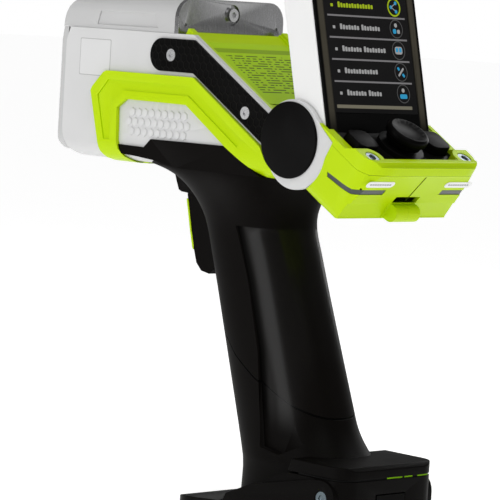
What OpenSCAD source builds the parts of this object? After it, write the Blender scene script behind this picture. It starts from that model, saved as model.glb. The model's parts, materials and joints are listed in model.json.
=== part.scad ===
// Handheld X-ray fluorescence analyser: pistol grip, long nose, flip-up touch display.
// Frame: +Z up, +X towards the operator, +Y to the instrument's right.
// The origin is the centre of the foot's flat underside.

/* [Head] */
// Distance from the display hinge to the front of the side shells
nose_length = 150; // [145:1:156]
// Width across the two side shells
head_w = 68; // [66:1:72]
// Wall of the side shells, covers and chin
shell_wall = 2.6; // [2.2:0.1:3]
// Top edge of the side shells above the hinge axis
shell_top = 42.3; // [41:0.1:44]
// Underside of the head below the hinge axis
head_drop = 17; // [16:0.5:18]
// Top of the nose cover above the hinge axis
cover_top = 58.5; // [56:0.5:62]
// Slope of the keypad deck and of the display bay, in degrees
slope = 31.5; // [30:0.5:33]
// Thickness of the lime bumper on the side shells
bumper_t = 2; // [1.6:0.1:2.6]
// Thickness of the black strap on the side shells
strap_t = 1.2; // [0.8:0.1:1.6]
// Radius of the round cap over the display hinge
cap_r = 16.7; // [15.5:0.1:17.5]

/* [Display] */
// Gap on each side between the display housing and the head's round shields
display_side_gap = 0.4; // [0.35:0.05:0.8]
// Distance from the hinge axis to the far end of the display
display_len = 90; // [86:0.5:92]
// Distance from the hinge axis to the screen's face
display_face = 21; // [19:0.1:21.4]
// Distance from the hinge axis to the back of the display
display_back = 3.2; // [3.1:0.1:5]
// Lean of the raised display from upright, in degrees
display_lean = 13.5; // [10:0.5:16]
// Radius of the hinge pins
hinge_pin_r = 3; // [2.5:0.1:3.5]

/* [Chin and keypad] */
// How far the chin stands out past the side shells on each side
chin_overhang = 1.5; // [1.2:0.1:2.5]
// Width of the chin's rear rim, behind the keypad
rear_rim = 8.3; // [7:0.1:10]
// Width of the chin's side rims
side_rim = 5; // [4.5:0.1:7]
// Radius of the round navigation pad
nav_r = 9.8; // [9:0.1:11]
// Travel of the navigation pad and of the two buttons
key_travel = 0.8; // [0.5:0.1:1]

/* [Grip] */
// Rake of the grip from upright, in degrees
grip_rake = 19.2; // [17:0.2:21]
// Front-to-back depth of the grip
grip_depth = 54; // [51:0.5:57]
// Side-to-side width of the grip
grip_w = 39; // [37:0.5:42]
// Pull of the trigger, in degrees
trigger_pull = 7; // [5:0.5:8]
// Width of the trigger
trigger_w = 15; // [13:0.5:16]

/* [Foot] */
// Height of the hinge axis above the underside of the foot
hinge_h = 170; // [168:0.5:174]
// Height of the block behind the grip
foot_h = 26.4; // [25:0.2:30]
// Length of the foot
foot_len = 110; // [106:1:114]
// Width of the foot
foot_w = 60; // [58:1:64]
// Front-to-back size of the battery
battery_d = 38; // [35:0.5:39]
// Side-to-side size of the battery
battery_w = 24; // [21:0.5:25]

/* [Fits] */
// Radial clearance of a shaft or pin that turns or slides in its bore
running_fit = 0.05; // [0.03:0.01:0.08]
// Clearance round pieces that move past each other
moving_gap = 0.35; // [0.3:0.05:0.5]
// Clearance between fixed pieces that sit side by side
seat_gap = 0.1; // [0.05:0.05:0.2]

/* [Hidden] */

$fn = 48;
eps = 0.01;
hinge_x = 15;
head_half = head_w / 2;
shield_back = head_half - 1;
shield_face = head_half + 1;
inner_half = head_half - shell_wall;
display_half = shield_back - display_side_gap;
chin_half = head_half + chin_overhang;
ledge_o = 2.4;
tray_top_o = -0.5;
tray_t = 2.5;
seam_o = 13.2;
arm_o = 16.5;
rim_o = 20;
deck_top_o = 15.6;
deck_t = 2.2;
barrel_r = 8.6;
sweep_r = sqrt(pow(display_face, 2) + 4) + 1.2;
// The pad clears the display as that turns
nav_gap = 2.4;
nav_s = sqrt(pow(sweep_r, 2) - pow(deck_top_o, 2)) + nav_r + nav_gap;
keypad_end = nav_s + nav_r + 3.45;
chin_reach = keypad_end + rear_rim;
bulkhead_x = -78;
nose_plate_t = 4;
grip_top = -head_drop;
foot_bottom = -hinge_h;
foot_top = foot_bottom + foot_h;

// ---- frames and profile helpers ----

function arc(c, r, a0, a1, n = 6) =
    [for (i = [0:n]) c + r * [cos(a0 + (a1 - a0) * i / n), sin(a0 + (a1 - a0) * i / n)]];

// A point s down the slope and o out of the slope, as side-view coordinates
function on_slope(s, o) = [s * cos(slope) + o * sin(slope), -s * sin(slope) + o * cos(slope)];

// Everything in the head is drawn about the hinge axis
module head() { translate([hinge_x, 0, hinge_h]) children(); }
// A side-view outline (x, z) carried from y0 to y1
module side(y0, y1) { translate([0, y1, 0]) rotate([90, 0, 0]) linear_extrude(y1 - y0) children(); }
// A front-view outline (y, z) carried from x0 to x1
module front(x0, x1) { translate([x0, 0, 0]) rotate([90, 0, 90]) linear_extrude(x1 - x0) children(); }
// The frame of the keypad deck: x down the slope, z out of it
module slope_frame() { rotate([0, slope, 0]) children(); }
// The frame of the raised display: x out of the screen, z along the screen
module display_frame() { rotate([0, -display_lean, 0]) children(); }
// Pieces are drawn for the left side and mirrored for the right
module flip(right) {
    mirror([0, right ? 1 : 0, 0]) children();
}
// A cylinder along y
module y_pin(r, y0, y1, x = 0, z = 0) {
    translate([x, y1, z]) rotate([90, 0, 0]) cylinder(r = r, h = y1 - y0);
}
// A cylinder along x
module x_pin(r, x0, x1, y = 0, z = 0) {
    translate([x0, y, z]) rotate([0, 90, 0]) cylinder(r = r, h = x1 - x0);
}

// A rounded rectangle centred on the origin
module round_rect(w, h, r) {
    polygon(concat(
        arc([w / 2 - r, h / 2 - r], r, 0, 90), arc([-w / 2 + r, h / 2 - r], r, 90, 180),
        arc([-w / 2 + r, -h / 2 + r], r, 180, 270), arc([w / 2 - r, -h / 2 + r], r, 270, 360)));
}

// ---- side shells, strap, bumper ----

nose_r = 13;
// The shield is a disc behind the cap with a lobe below it and a point towards the keypad
shield_top_c = [1.2, 0.8];
shield_top_r = 16.9;
shield_low_c = [4, -3.4];
shield_low_r = 17.8;

function ledge_x(o, z) = (o - z * cos(slope)) / sin(slope);

function shell_pts() = concat(
    [[-nose_length, shell_top - 6.3], [-nose_length + 2.4, shell_top]],
    [[ledge_x(ledge_o, shell_top), shell_top], on_slope(0, ledge_o), [6, 0], [6, -head_drop]],
    arc([-nose_length + nose_r, -head_drop + nose_r], nose_r, 270, 180));

module shield_outline(grow = 0) {
    translate(shield_top_c) circle(r = shield_top_r + grow);
    translate(shield_low_c) circle(r = shield_low_r + grow);
    polygon([
        [0, 0], [12.3 + grow, 12.6 + grow], [25.6 + 1.6 * grow, 0.6 + grow],
        [22 + 1.4 * grow, -5.4 - grow], [19 + grow, -12.6 - grow]]);
}

module head_section() {
    front(-nose_length - 1, 8)
        polygon(concat([[head_half, shell_top + 9], [-head_half, shell_top + 9]],
            arc([-head_half + 6, -head_drop + 6], 6, 180, 270),
            arc([head_half - 6, -head_drop + 6], 6, 270, 360)));
}

module head_envelope() {
    intersection() {
        side(-head_half, head_half) polygon(shell_pts());
        head_section();
    }
}

// The volume that the display and its barrel need between raised and closed
module display_sweep(half) {
    y_pin(barrel_r + 1.6, -half, half);
    intersection() {
        y_pin(sweep_r, -half, half);
        translate([-50, -half, -1.8]) cube([100, 2 * half, 50]);
    }
}

module grip_studs() {
    stud_pitch = 4.3;
    for (row = [0:2], i = [0:(row == 1 ? 9 : 8)])
        y_pin(1.7, -head_half - 0.5, -head_half + 0.5,
            -104 + (row == 1 ? 0 : stud_pitch / 2) + stud_pitch * i, 5.6 - 4.4 * row);
}

module side_shell(right) {
    color("#d7d9da") head() flip(right) difference() {
        union() {
            intersection() {
                side(-head_half, 0) polygon(shell_pts());
                head_section();
            }
            side(-shield_face, -shield_back) shield_outline();
            grip_studs();
        }
        // hollow for the engine, open at the nose and over the bay
        side(-inner_half, 1) polygon([
            [-nose_length - 1, -head_drop + shell_wall], [7, -head_drop + shell_wall],
            [7, 30], [ledge_x(ledge_o + 5, shell_top + 5), shell_top + 5],
            [-nose_length - 1, shell_top + 5]]);
        // pocket for the display's barrel and bore for its pin
        y_pin(barrel_r + 1.6, -shield_back, 1);
        y_pin(hinge_pin_r + 0.02, -shield_face - 1, 1);
        for (p = strap_screw_at) y_pin(1.6, -head_half - 1, -inner_half + 1, p[0], p[1]);
    }
}
module side_shell_left() { side_shell(false); }
module side_shell_right() { side_shell(true); }

strap_w = 14.8;
strap_z = 32.6;
strap_x = -83.7;
strap_top_o = 1.2;
strap_low_o = -11.2;
strap_screw_at = [[-77.6, 32.6], [-28.3, 9.8]];

module strap_outline() {
    translate([strap_x, strap_z]) circle(r = strap_w / 2);
    polygon([
        [strap_x, strap_z + strap_w / 2],
        [ledge_x(strap_top_o, strap_z + strap_w / 2), strap_z + strap_w / 2],
        on_slope(0, strap_top_o), on_slope(0, strap_low_o),
        [ledge_x(strap_low_o, strap_z - strap_w / 2), strap_z - strap_w / 2],
        [strap_x, strap_z - strap_w / 2]]);
}

module strap_trim(right) {
    color("#111214") head() flip(right) difference() {
        side(-head_half - strap_t, -head_half) strap_outline();
        y_pin(cap_r + 0.2, -head_half - 3, -head_half + 1);
        for (p = strap_screw_at) {
            y_pin(1.6, -head_half - 3, -head_half + 1, p[0], p[1]);
            y_pin(2.9, -head_half - 3, -head_half - 0.4, p[0], p[1]);
        }
    }
}
module strap_trim_left() { strap_trim(false); }
module strap_trim_right() { strap_trim(true); }

module strap_screws() {
    color("#b9bcc0") head() for (right = [false, true]) flip(right)
        for (p = strap_screw_at) difference() {
            union() {
                y_pin(2.8, -head_half - strap_t, -head_half - 0.4, p[0], p[1]);
                y_pin(1.5, -head_half - 0.4, -inner_half, p[0], p[1]);
            }
            translate([p[0], -head_half - 0.6, p[1]]) rotate([90, 0, 0])
                cylinder(r = 1.3, h = 2, $fn = 6);
        }
}

bumper_under_t = 0.8;
bumper_low = -head_drop - bumper_under_t;

bumper_outer = [
    [-116, bumper_low], [-119.4, bumper_low + 1.2], [-121.6, bumper_low + 4], [-122.8, bumper_low + 8],
    [-129.4, 13.7], [-128.4, 15.6], [-121.4, 22.5], [-119.2, 23.4],
    [-61.6, 23.4], [-17.3, -4.2], [-12, -12], [-4.5, -16.8], [3, -21.4], [6, -22.4],
    [-4, -22.8], [-16.6, -17.8], [-38.9, -5.9], [-65.3, 10.9], [-105.2, 11.1],
    [-110.9, 7.1], [-110.2, -8], [-108.8, -12], [-106, bumper_low + 2.6], [-101, bumper_low]];

// Section of the bumper: it follows the rounded lower edge of the head
module bumper_section() {
    bumper_r = 8;
    front(-140, 10) polygon(concat(
        [[head_half + bumper_t, shell_top], [-head_half - bumper_t, shell_top]],
        arc([-head_half - bumper_t + bumper_r, bumper_low + bumper_r], bumper_r, 180, 270),
        arc([head_half + bumper_t - bumper_r, bumper_low + bumper_r], bumper_r, 270, 360)));
}

module bumper(right) {
    color("#b4dc00") head() flip(right) difference() {
        union() {
            intersection() {
                side(-head_half - bumper_t, -head_half + 9) polygon(bumper_outer);
                bumper_section();
            }
            // the band carries on under the nose to the middle
            translate([-116, -head_half + 8, bumper_low]) cube([18, head_half - 8, bumper_under_t]);
        }
        head_envelope();
        side(-shield_face, -shield_back) shield_outline(seat_gap);
        y_pin(cap_r + 0.2, -head_half - 5, -head_half + 8);
        // channel along the middle of the band
        translate([0, -head_half - bumper_t + 0.7, 0]) side(-2, 0) polygon([
            [-119, -8], [-124.4, 12], [-117.6, 19.4], [-62.8, 19.4], [-28, -2.2],
            [-31.4, -5.6], [-64, 14.9], [-107, 15], [-114.9, 9], [-114.6, -8]]);
    }
}
module bumper_left() { bumper(false); }
module bumper_right() { bumper(true); }

module pivot_cap(right) {
    color("#0e0f12") head() flip(right) translate([0, -shield_face, 0]) rotate([90, 0, 0])
        rotate_extrude() polygon(concat([[0, 0], [cap_r, 0], [cap_r, 0.6]],
            arc([cap_r - 0.6, 0.6], 0.6, 0, 90, 3), [[0, 1.35]]));
}
module pivot_cap_left() { pivot_cap(false); }
module pivot_cap_right() { pivot_cap(true); }

module hinge_pins() {
    color("#9fa3a8") head() for (right = [false, true]) flip(right) {
        y_pin(hinge_pin_r, -shield_face, -display_half + 10);
        // wave washer between the barrel and the shell
        difference() {
            y_pin(6, -shield_back, -display_half - 0.05);
            y_pin(hinge_pin_r - eps, -shield_back - 1, -display_half + 1);
        }
    }
}

// ---- nose cover, bulkhead and display bay ----

cover_front = -nose_length - 3;
cover_r = 16;

function cover_section(i) = concat(
    [[-head_half + 0.6 + i, shell_top], [-head_half + 0.6 + i, cover_top - 9]],
    arc([-head_half + 9.6, cover_top - 9], 9 - i, 180, 90),
    arc([head_half - 9.6, cover_top - 9], 9 - i, 90, 0),
    [[head_half - 0.6 - i, shell_top]]);

function cover_profile(i) = concat([[cover_front + i, shell_top]],
    arc([cover_front + cover_r, cover_top - cover_r], cover_r - i, 180, 90, 8),
    [[bulkhead_x + (i > 0 ? 1 : 0), cover_top - i], [bulkhead_x + (i > 0 ? 1 : 0), shell_top]]);

module cover_block(i) {
    intersection() {
        side(-head_half, head_half) polygon(cover_profile(i));
        front(cover_front - 1, bulkhead_x + 2) polygon(cover_section(i));
    }
}

module nose_cover() {
    color("#dfe1e2") head() difference() {
        cover_block(0);
        cover_block(shell_wall);
        // shallow panel between the two ribs on each side
        for (right = [false, true]) flip(right)
            translate([0, -head_half + 1.4, 0]) side(-5, 0)
                polygon([
                    [-130, shell_top + 2], [-128, cover_top - 8],
                    [-91, cover_top - 8], [-89, shell_top + 2]]);
    }
}

module bulkhead_plate() {
    color("#8d9093") head() difference() {
        front(bulkhead_x, bulkhead_x + 2.5) polygon(cover_section(0));
        x_pin(4.8, bulkhead_x + 1, bulkhead_x + 4, 0, cover_top - 4.6 - 2);
        x_pin(1.6, bulkhead_x - 1, bulkhead_x + 4, 0, cover_top - 4.6 - 2);
        for (k = [-1, 1])
            x_pin(0.7, bulkhead_x + 1.7, bulkhead_x + 4, k * (head_half - 5), shell_top + 4.2);
    }
}

module bulkhead_screw() {
    color("#c9ccd0") head() translate([bulkhead_x + 1, 0, cover_top - 4.6 - 2]) rotate([0, 90, 0])
        difference() {
            union() {
                cylinder(r = 3, h = 2.6);
                translate([0, 0, -6]) cylinder(r = 1.5, h = 6 + eps);
            }
            translate([0, 0, 1.4]) cylinder(r = 1.5, h = 2, $fn = 6);
        }
}

module bay_gasket() {
    color("#16171a") head() translate([bulkhead_x, -inner_half, shell_top - 2.4])
        cube([4.4, 2 * inner_half, 2.4]);
}

tray_s0 = -84;
tray_s1 = -barrel_r - 2.2;
bay_screw_at = [for (k = [-1, 1]) [-30.5, k * (inner_half - 10.4)]];

module bay_tray() {
    color("#b4dc00") head() slope_frame() difference() {
        union() {
            translate([tray_s0, -inner_half, tray_top_o - tray_t])
                cube([tray_s1 - tray_s0, 2 * inner_half, tray_t]);
            for (right = [false, true]) flip(right) {
                translate([tray_s0, -inner_half, tray_top_o - tray_t])
                    cube([-barrel_r - 8 - tray_s0, 3.4, tray_t + 1.9]);
                translate([tray_s0, -inner_half + 3, tray_top_o - tray_t])
                    cube([-barrel_r - 8 - tray_s0, 1.6, tray_t + 0.8]);
            }
        }
        for (p = bay_screw_at) {
            translate([p[0], p[1], tray_top_o - tray_t - 1]) cylinder(r = 1.5, h = tray_t + 2);
            translate([p[0], p[1], tray_top_o - 1.1]) cylinder(r = 3.2, h = 3);
        }
    }
}

module bay_screws() {
    color("#9fa3a8") head() slope_frame() for (p = bay_screw_at)
        translate([p[0], p[1], tray_top_o - 1.1]) difference() {
            union() {
                cylinder(r = 2.9, h = 0.9);
                translate([0, 0, -7]) cylinder(r = 1.4, h = 7 + eps);
            }
            translate([0, 0, 0.3]) cylinder(r = 1.4, h = 2, $fn = 6);
        }
}

module chassis() {
    color("#a9cf00") head() difference() {
        side(-inner_half, inner_half) polygon([
            [-17, -head_drop + shell_wall], [5.9, -head_drop + shell_wall], [10, -15.6],
            [16, -14.6], [22, -8], [24.4, 0.4], [22, 4], [0, 6],
            on_slope(tray_s1, tray_top_o - tray_t - 0.05),
            on_slope(-22, tray_top_o - tray_t - 0.05)]);
        display_sweep(inner_half + 1);
        slope_frame() {
            translate([0, -40, seam_o - 0.1]) cube([60, 80, 20]);
            translate([16, -40, board_o - 0.5]) cube([60, 80, 20]);
        }
    }
}

// ---- nose end and engine ----

window_z = 9;
window_r = 8;
plunger_travel = 2.5;
plunger_y = -inner_half + 11.4;
plunger_z = -6;
camera_y = inner_half - 11.4;
camera_z = 30;
tube_z = 20;
tube_r = 11;
engine_z = -head_drop + shell_wall;
plate_z = engine_z + 3;
// The filter wheel clears the right shell, and one of its holes lies on the tube's axis
wheel_rim = 4;
wheel_reach = (inner_half - 3.4) / 2;
wheel_y = inner_half - 1 - wheel_rim - wheel_reach;
wheel_z = tube_z + sqrt(pow(wheel_reach, 2) - pow(wheel_y, 2));
wheel_turn = atan2(wheel_z - tube_z, wheel_y);

// Pieces of the engine are drawn from the back of the nose plate: x = 0 is the plate's back
module nose_frame() { head() translate([-nose_length, 0, 0]) children(); }
// Distance from the nose plate's back to a place given from the hinge axis
function from_nose(x) = nose_length + x;

module nose_plate() {
    color("#c3c6c8") nose_frame() difference() {
        intersection() {
            front(-nose_plate_t, 0) polygon(concat(
                [[head_half - 1, shell_top - 0.1], [-head_half + 1, shell_top - 0.1]],
                arc([-head_half + 8, -head_drop + 9], 7, 180, 270),
                arc([head_half - 8, -head_drop + 9], 7, 270, 360)));
            side(-head_half, head_half) polygon([
                [-nose_plate_t, shell_top - 6.3], [-nose_plate_t + 1, shell_top], [1, shell_top],
                [1, -head_drop], [-nose_plate_t + 1.6, -head_drop + 2], [-nose_plate_t, -head_drop + 6]]);
        }
        x_pin(window_r + 5.1, -9, 9, 0, window_z);
        x_pin(2 + running_fit, -9, 9, plunger_y, plunger_z);
        x_pin(3, -9, 9, camera_y, camera_z);
    }
}

module window_frame() {
    color("#3a3d40") nose_frame() difference() {
        union() {
            x_pin(window_r + 5, -nose_plate_t - 1.2, 3, 0, window_z);
            x_pin(window_r + 7, 0, 2, 0, window_z);
        }
        x_pin(window_r, -9, 9, 0, window_z);
    }
}

module window_film() {
    color("#b0722a") nose_frame() x_pin(window_r, -nose_plate_t, -nose_plate_t + 0.6, 0, window_z);
}

module proximity_plunger() {
    color("#202225") nose_frame() {
        x_pin(2, -nose_plate_t - 3, 12, plunger_y, plunger_z);
        x_pin(3.6, 0.5, 2.5, plunger_y, plunger_z);
    }
}

module plunger_spring() {
    color("#a0a4a8") nose_frame() difference() {
        x_pin(3.4, 2.5 + plunger_travel + 0.4, 10, plunger_y, plunger_z);
        x_pin(2 + moving_gap, 0, 20, plunger_y, plunger_z);
    }
}

module engine_frame() {
    color("#b7babd") nose_frame() difference() {
        union() {
            translate([4, -inner_half, engine_z])
                cube([from_nose(-28) - 4, 2 * inner_half, plate_z - engine_z]);
            // guide for the plunger
            translate([10, plunger_y - 6, engine_z]) cube([5, 12, plunger_z - engine_z + 6]);
            // cradle under the tube and the detector
            translate([16, -9, engine_z]) cube([36, 18, 10]);
            translate([28, -12, engine_z]) cube([20, 24, tube_z - engine_z - tube_r + 1]);
            // post for the filter motor
            translate([12, 7.6, engine_z]) cube([5, 10, wheel_z - engine_z]);
            // posts for the board
            for (x = [-86, -40]) translate([from_nose(x), board_y - 4, engine_z]) cube([5, 4, 8]);
        }
        x_pin(2 + running_fit, 0, 30, plunger_y, plunger_z);
        x_pin(tube_r + seat_gap / 2, 19, 60, 0, tube_z);
        detector_place() translate([0, 0, -1]) cylinder(r = 7 + seat_gap / 2, h = 40);
        x_pin(5 + seat_gap / 2, 9, 20, wheel_y, wheel_z);
    }
}

module detector_place() { translate([13, 0, 2]) rotate([0, 104, 0]) children(); }

module xray_tube() {
    color("#d9d2c0") nose_frame() difference() {
        union() {
            x_pin(tube_r, 20, 56, 0, tube_z);
            x_pin(6, 12, 21, 0, tube_z);
        }
        x_pin(3, 11, 14, 0, tube_z);
    }
}

module detector() {
    color("#8a8e93") nose_frame() detector_place() {
        cylinder(r = 7, h = 20);
        translate([0, 0, -2]) cylinder(r = 4, h = 2 + eps);
    }
}

module filter_wheel() {
    color("#c8b070") nose_frame() difference() {
        union() {
            x_pin(wheel_reach + wheel_rim, 7.5, 9, wheel_y, wheel_z);
            x_pin(2, 7.5, 18.5, wheel_y, wheel_z);
        }
        for (a = [wheel_turn:60:wheel_turn + 300])
            x_pin(3, 6, 10, wheel_y + wheel_reach * cos(a), wheel_z + wheel_reach * sin(a));
    }
}

module filter_motor() {
    color("#55585c") nose_frame() difference() {
        x_pin(5, 10, 19.6, wheel_y, wheel_z);
        x_pin(2 + running_fit, 9, 19, wheel_y, wheel_z);
    }
}

module camera_module() {
    color("#1c1d20") nose_frame() {
        translate([0, camera_y - 7, camera_z - 4]) cube([5.5, 14, 8]);
        x_pin(2.8, -2, eps, camera_y, camera_z);
    }
}

board_y = inner_half - 7.4;

module hv_supply() {
    color("#3b3f55") nose_frame() translate([56.6, -18, plate_z]) cube([from_nose(-50) - 56.6, 34, 22]);
}

module main_board() {
    color("#1f6b3a") nose_frame() translate([from_nose(-92), board_y, plate_z]) cube([66, 1.6, 22]);
}

// ---- grip and handle ----

flare_h = 34;
heel_h = 19.6;
grip_mid = grip_top - 61;
ring_n = 48;

function drop(z) = min(1, max(0, (grip_top - z) / flare_h));
// Half width added under the head, level with the skirt where it starts
function swell(z) = pow(1 - pow(drop(z), 1.5), 3.6);
// Depth added behind and in front under the head
function rear_swell(z) = 9 * pow(1 - drop(z), 2.4) - 4 * pow(1 - drop(z), 1.6);
function front_swell(z) = 8 * pow(1 - drop(z), 12);
function heel(z) = pow(min(1, max(0, (foot_top + heel_h - z) / heel_h)), 2);
// Centre line of the raked grip
function grip_line(z) = -36 + (grip_mid - z) * tan(grip_rake);
function grip_x(z) = grip_line(max(z, foot_top - 2.4)) + rear_swell(z) - front_swell(z) + 4.5 * heel(z);
function grip_a(z) = grip_depth / 2 + (grip_mid + 8 - z) * 0.025
    + rear_swell(z) + front_swell(z) + 4.5 * heel(z);
function grip_b(z) = grip_w / 2 + max(0, grip_mid + 8 - z) * 0.025
    + (head_half + 0.9 - grip_w / 2) * swell(z) + 1.5 * heel(z);
function grip_n(z) = 2.6 + 1.2 * pow(1 - drop(z), 3);
function super(c, n) = sign(c) * pow(abs(c), 2 / n);
function ring(z) = [for (i = [0:ring_n - 1]) let (t = 360 * i / ring_n)
    [grip_x(z) + grip_a(z) * super(cos(t), grip_n(z)), grip_b(z) * super(sin(t), grip_n(z)), z]];

grip_levels = concat(
    [for (d = [-4, 0, 0.8, 1.8, 3.2, 5, 7.5, 10.5, 14, 18, 22.5, 28, flare_h]) grip_top - d],
    [for (k = [0.2, 0.44, 0.68]) grip_top - flare_h + k * (foot_top - grip_top + flare_h)],
    [for (d = [heel_h, 0.65 * heel_h, 0.3 * heel_h, -0.4]) foot_top + d]);

module grip_loft() {
    rings = [for (z = concat(grip_levels, [foot_bottom + 2])) ring(z)];
    m = len(rings);
    polyhedron(
        points = [for (r = rings, p = r) p],
        faces = concat(
            [[for (i = [0:ring_n - 1]) ring_n - 1 - i]],
            [for (k = [0:m - 2], i = [0:ring_n - 1]) let (j = (i + 1) % ring_n)
                [k * ring_n + i, (k + 1) * ring_n + j, (k + 1) * ring_n + i]],
            [for (k = [0:m - 2], i = [0:ring_n - 1]) let (j = (i + 1) % ring_n)
                [k * ring_n + i, k * ring_n + j, (k + 1) * ring_n + j]],
            [[for (i = [0:ring_n - 1]) (m - 1) * ring_n + i]]));
}

// The battery slides along the rake of the grip
battery_top = 86;
battery_z = foot_bottom + 7.7;
module battery_frame() {
    translate([grip_line(battery_z), 0, battery_z]) rotate([0, -grip_rake, 0]) children();
}
module battery_well() {
    battery_frame() translate([-battery_d / 2 - moving_gap, -battery_w / 2 - moving_gap, -30])
        cube([battery_d + 2 * moving_gap, battery_w + 2 * moving_gap, battery_top + 30 + 8]);
}

seam_line = [for (p = [
    [-80, 66.6], [-48, 50.7], [-41.3, 44.7], [-28.3, 36.5], [-14.3, 29.8], [9, 20.6], [60, 1.6]])
    [p[0], foot_top + p[1]]];

module above_seam() {
    side(-60, 60) polygon(concat(seam_line, [[60, 20], [-140, 20], [-140, seam_line[0][1]]]));
}

// Flat panel let into each side of the grip
module side_flats() {
    for (right = [false, true]) flip(right) side(-40, -grip_w / 2 + 0.9) polygon([
        [-45.3, grip_top - 24.4], [-10, grip_top - 23.6], [14, foot_top + 33.6], [4, foot_top + 9.6],
        [-8, foot_top + 4.1], [-20, foot_top + 6.1], [-26.6, foot_top + 47.9], [-35.9, grip_top - 48.2]]);
}

trigger_at = [-73, -12];
trigger_half = trigger_w / 2;

// The trigger and what is round it are drawn down from the head's underside
module under_head() { translate([0, 0, grip_top]) children(); }

module trigger_outline(grow = 0) {
    polygon([
        [-87 - grow, -7.6 + grow], [-90.6 - grow, -14], [-88.9 - grow, -21], [-86.8 - grow, -30],
        [-84.4 - grow, -38.6], [-82.2 - grow, -45 - grow], [-78.8, -48.4 - grow],
        [-73.5 + grow, -49.4 - grow], [-70.5 + grow, -47], [-67.5 + grow, -40],
        [-66.5 + grow, -29], [-66.5 + grow, -7.6 + grow]]);
}

module trigger_pocket() {
    under_head() side(-trigger_half - moving_gap, trigger_half + moving_gap) {
        trigger_outline(moving_gap);
        // room behind for the pull
        polygon([
            [-80, -6.2], [-65.6, -6.2], [-65.6, -13], [-63.6, -29], [-63.2, -40],
            [-65, -47.6], [-67.6, -50.6], [-80, -50.6]]);
    }
}

module grip_solid() {
    difference() {
        union() {
            grip_loft();
            // skirt that wraps the lower edge of the head inside the bumper
            side(-head_half - 1, head_half + 1) polygon([
                [-110, grip_top + 3.3], [-110, grip_top + 7.2], [-92.4, grip_top + 7],
                [-88, grip_top + 11], [-39.4, grip_top + 11.4], [-17.4, grip_top - 0.6],
                [-70, grip_top - 0.6], [-73.6, grip_top + 0.1], [-85, grip_top + 1.6],
                [-96, grip_top + 2.5]]);
            // finger rest in front of the trigger
            under_head() side(-trigger_half - 3.5, trigger_half + 3.5) polygon([
                [-99, 0], [-96.6, -3.2], [-94.7, -8.1], [-92.8, -12.2],
                [-91, -13], [-85, -13.4], [-74, -15], [-72, 0]]);
        }
        head_envelope();
        for (right = [false, true]) flip(right) side(-head_half - 5, -head_half + 8) polygon(bumper_outer);
        translate([-130, -50, -head_drop - bumper_under_t - 0.05]) cube([32.1, 100, bumper_under_t + 1]);
        side_flats();
        battery_well();
        trigger_pocket();
        under_head()
            y_pin(1.5 + 0.02, -trigger_half - 8.5, trigger_half + 8.5, trigger_at[0], trigger_at[1]);
        // cable way from the head down to the battery contacts, with the trigger's switch in it
        under_head() side(-8, 8) polygon([[-62, 7], [-62, -48], [-52, -73], [-38, -73], [-38, 7]]);
        under_head() translate([-68, -3, -36]) cube([8, 6, 6]);
    }
}

module grip_half(right) {
    color("#17181a") head() flip(right) intersection() {
        grip_solid();
        above_seam();
        translate([-200, -80, -200]) cube([300, 80, 300]);
    }
}
module grip_left() { grip_half(false); }
module grip_right() { grip_half(true); }

module handle_sleeve() {
    color("#151618") head() difference() {
        grip_loft();
        above_seam();
        side_flats();
        battery_well();
        side(-60, 60) polygon(foot_pts());
    }
}

module trigger() {
    color("#1b1c1f") head() under_head() difference() {
        side(-trigger_half, trigger_half) trigger_outline();
        y_pin(1.5 + running_fit, -20, 20, trigger_at[0], trigger_at[1]);
        // room for the spring beside the pin
        y_pin(3.3, -3, 3, trigger_at[0], trigger_at[1]);
        side(-5.2, 5.2) polygon([[-94, -16], [-88.2, -16], [-83, -37], [-84.2, -40], [-94, -40]]);
    }
}

module trigger_insert() {
    color("#b4dc00") head() under_head() side(-5, 5) polygon([
        [-90.7, -16.2], [-88.4, -16.2], [-83.2, -37], [-84.4, -39.4],
        [-85, -38.6], [-87.4, -30], [-89.5, -21]]);
}

module trigger_pin() {
    color("#a8abb0") head() under_head()
        y_pin(1.5, -trigger_half - 6.5, trigger_half + 6.5, trigger_at[0], trigger_at[1]);
}

module trigger_spring() {
    color("#8f9398") head() under_head() translate([trigger_at[0], 0, trigger_at[1]]) rotate([90, 0, 0])
        for (k = [-2:2]) translate([0, 0, k * 1.1])
            rotate_extrude() translate([2.4, 0]) circle(r = 0.5, $fn = 16);
}

module trigger_switch() {
    color("#2a2c30") head() under_head() translate([-62, -5, -39]) cube([7, 10, 12]);
}

// ---- chin, keypad and light bars ----

chin_corner_r = 13;
chin_under_r = 7;
chin_under_o = -13.9;
rim_screw_at = [for (k = [-1, 1]) [chin_reach - 10, k * (chin_half - 6.1)]];

// Side-view seam between the rim and the lower chin
chin_seam = [on_slope(8, seam_o), [41, -9.8], [45.6, -11.6], [60, -11.6]];

module chin_plan(i) {
    polygon(concat(
        [[-12, chin_half - i]],
        arc([chin_reach - chin_corner_r, chin_half - chin_corner_r], chin_corner_r - i, 90, 0, 8),
        arc([chin_reach - chin_corner_r, -chin_half + chin_corner_r], chin_corner_r - i, 0, -90, 8),
        [[-12, -chin_half + i]]));
}

module chin_prism(i) { slope_frame() translate([0, 0, -60]) linear_extrude(100) chin_plan(i); }

// Section across the chin with rounded lower edges, carried down the slope
module chin_across(i) {
    slope_frame() translate([-20, 0, 0]) rotate([90, 0, 90]) linear_extrude(100) polygon(concat(
        [[-chin_half + i, 60]],
        arc([-chin_half + chin_under_r, chin_under_o + chin_under_r], chin_under_r - i, 180, 270),
        arc([chin_half - chin_under_r, chin_under_o + chin_under_r], chin_under_r - i, 270, 360),
        [[chin_half - i, 60]]));
}

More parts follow.
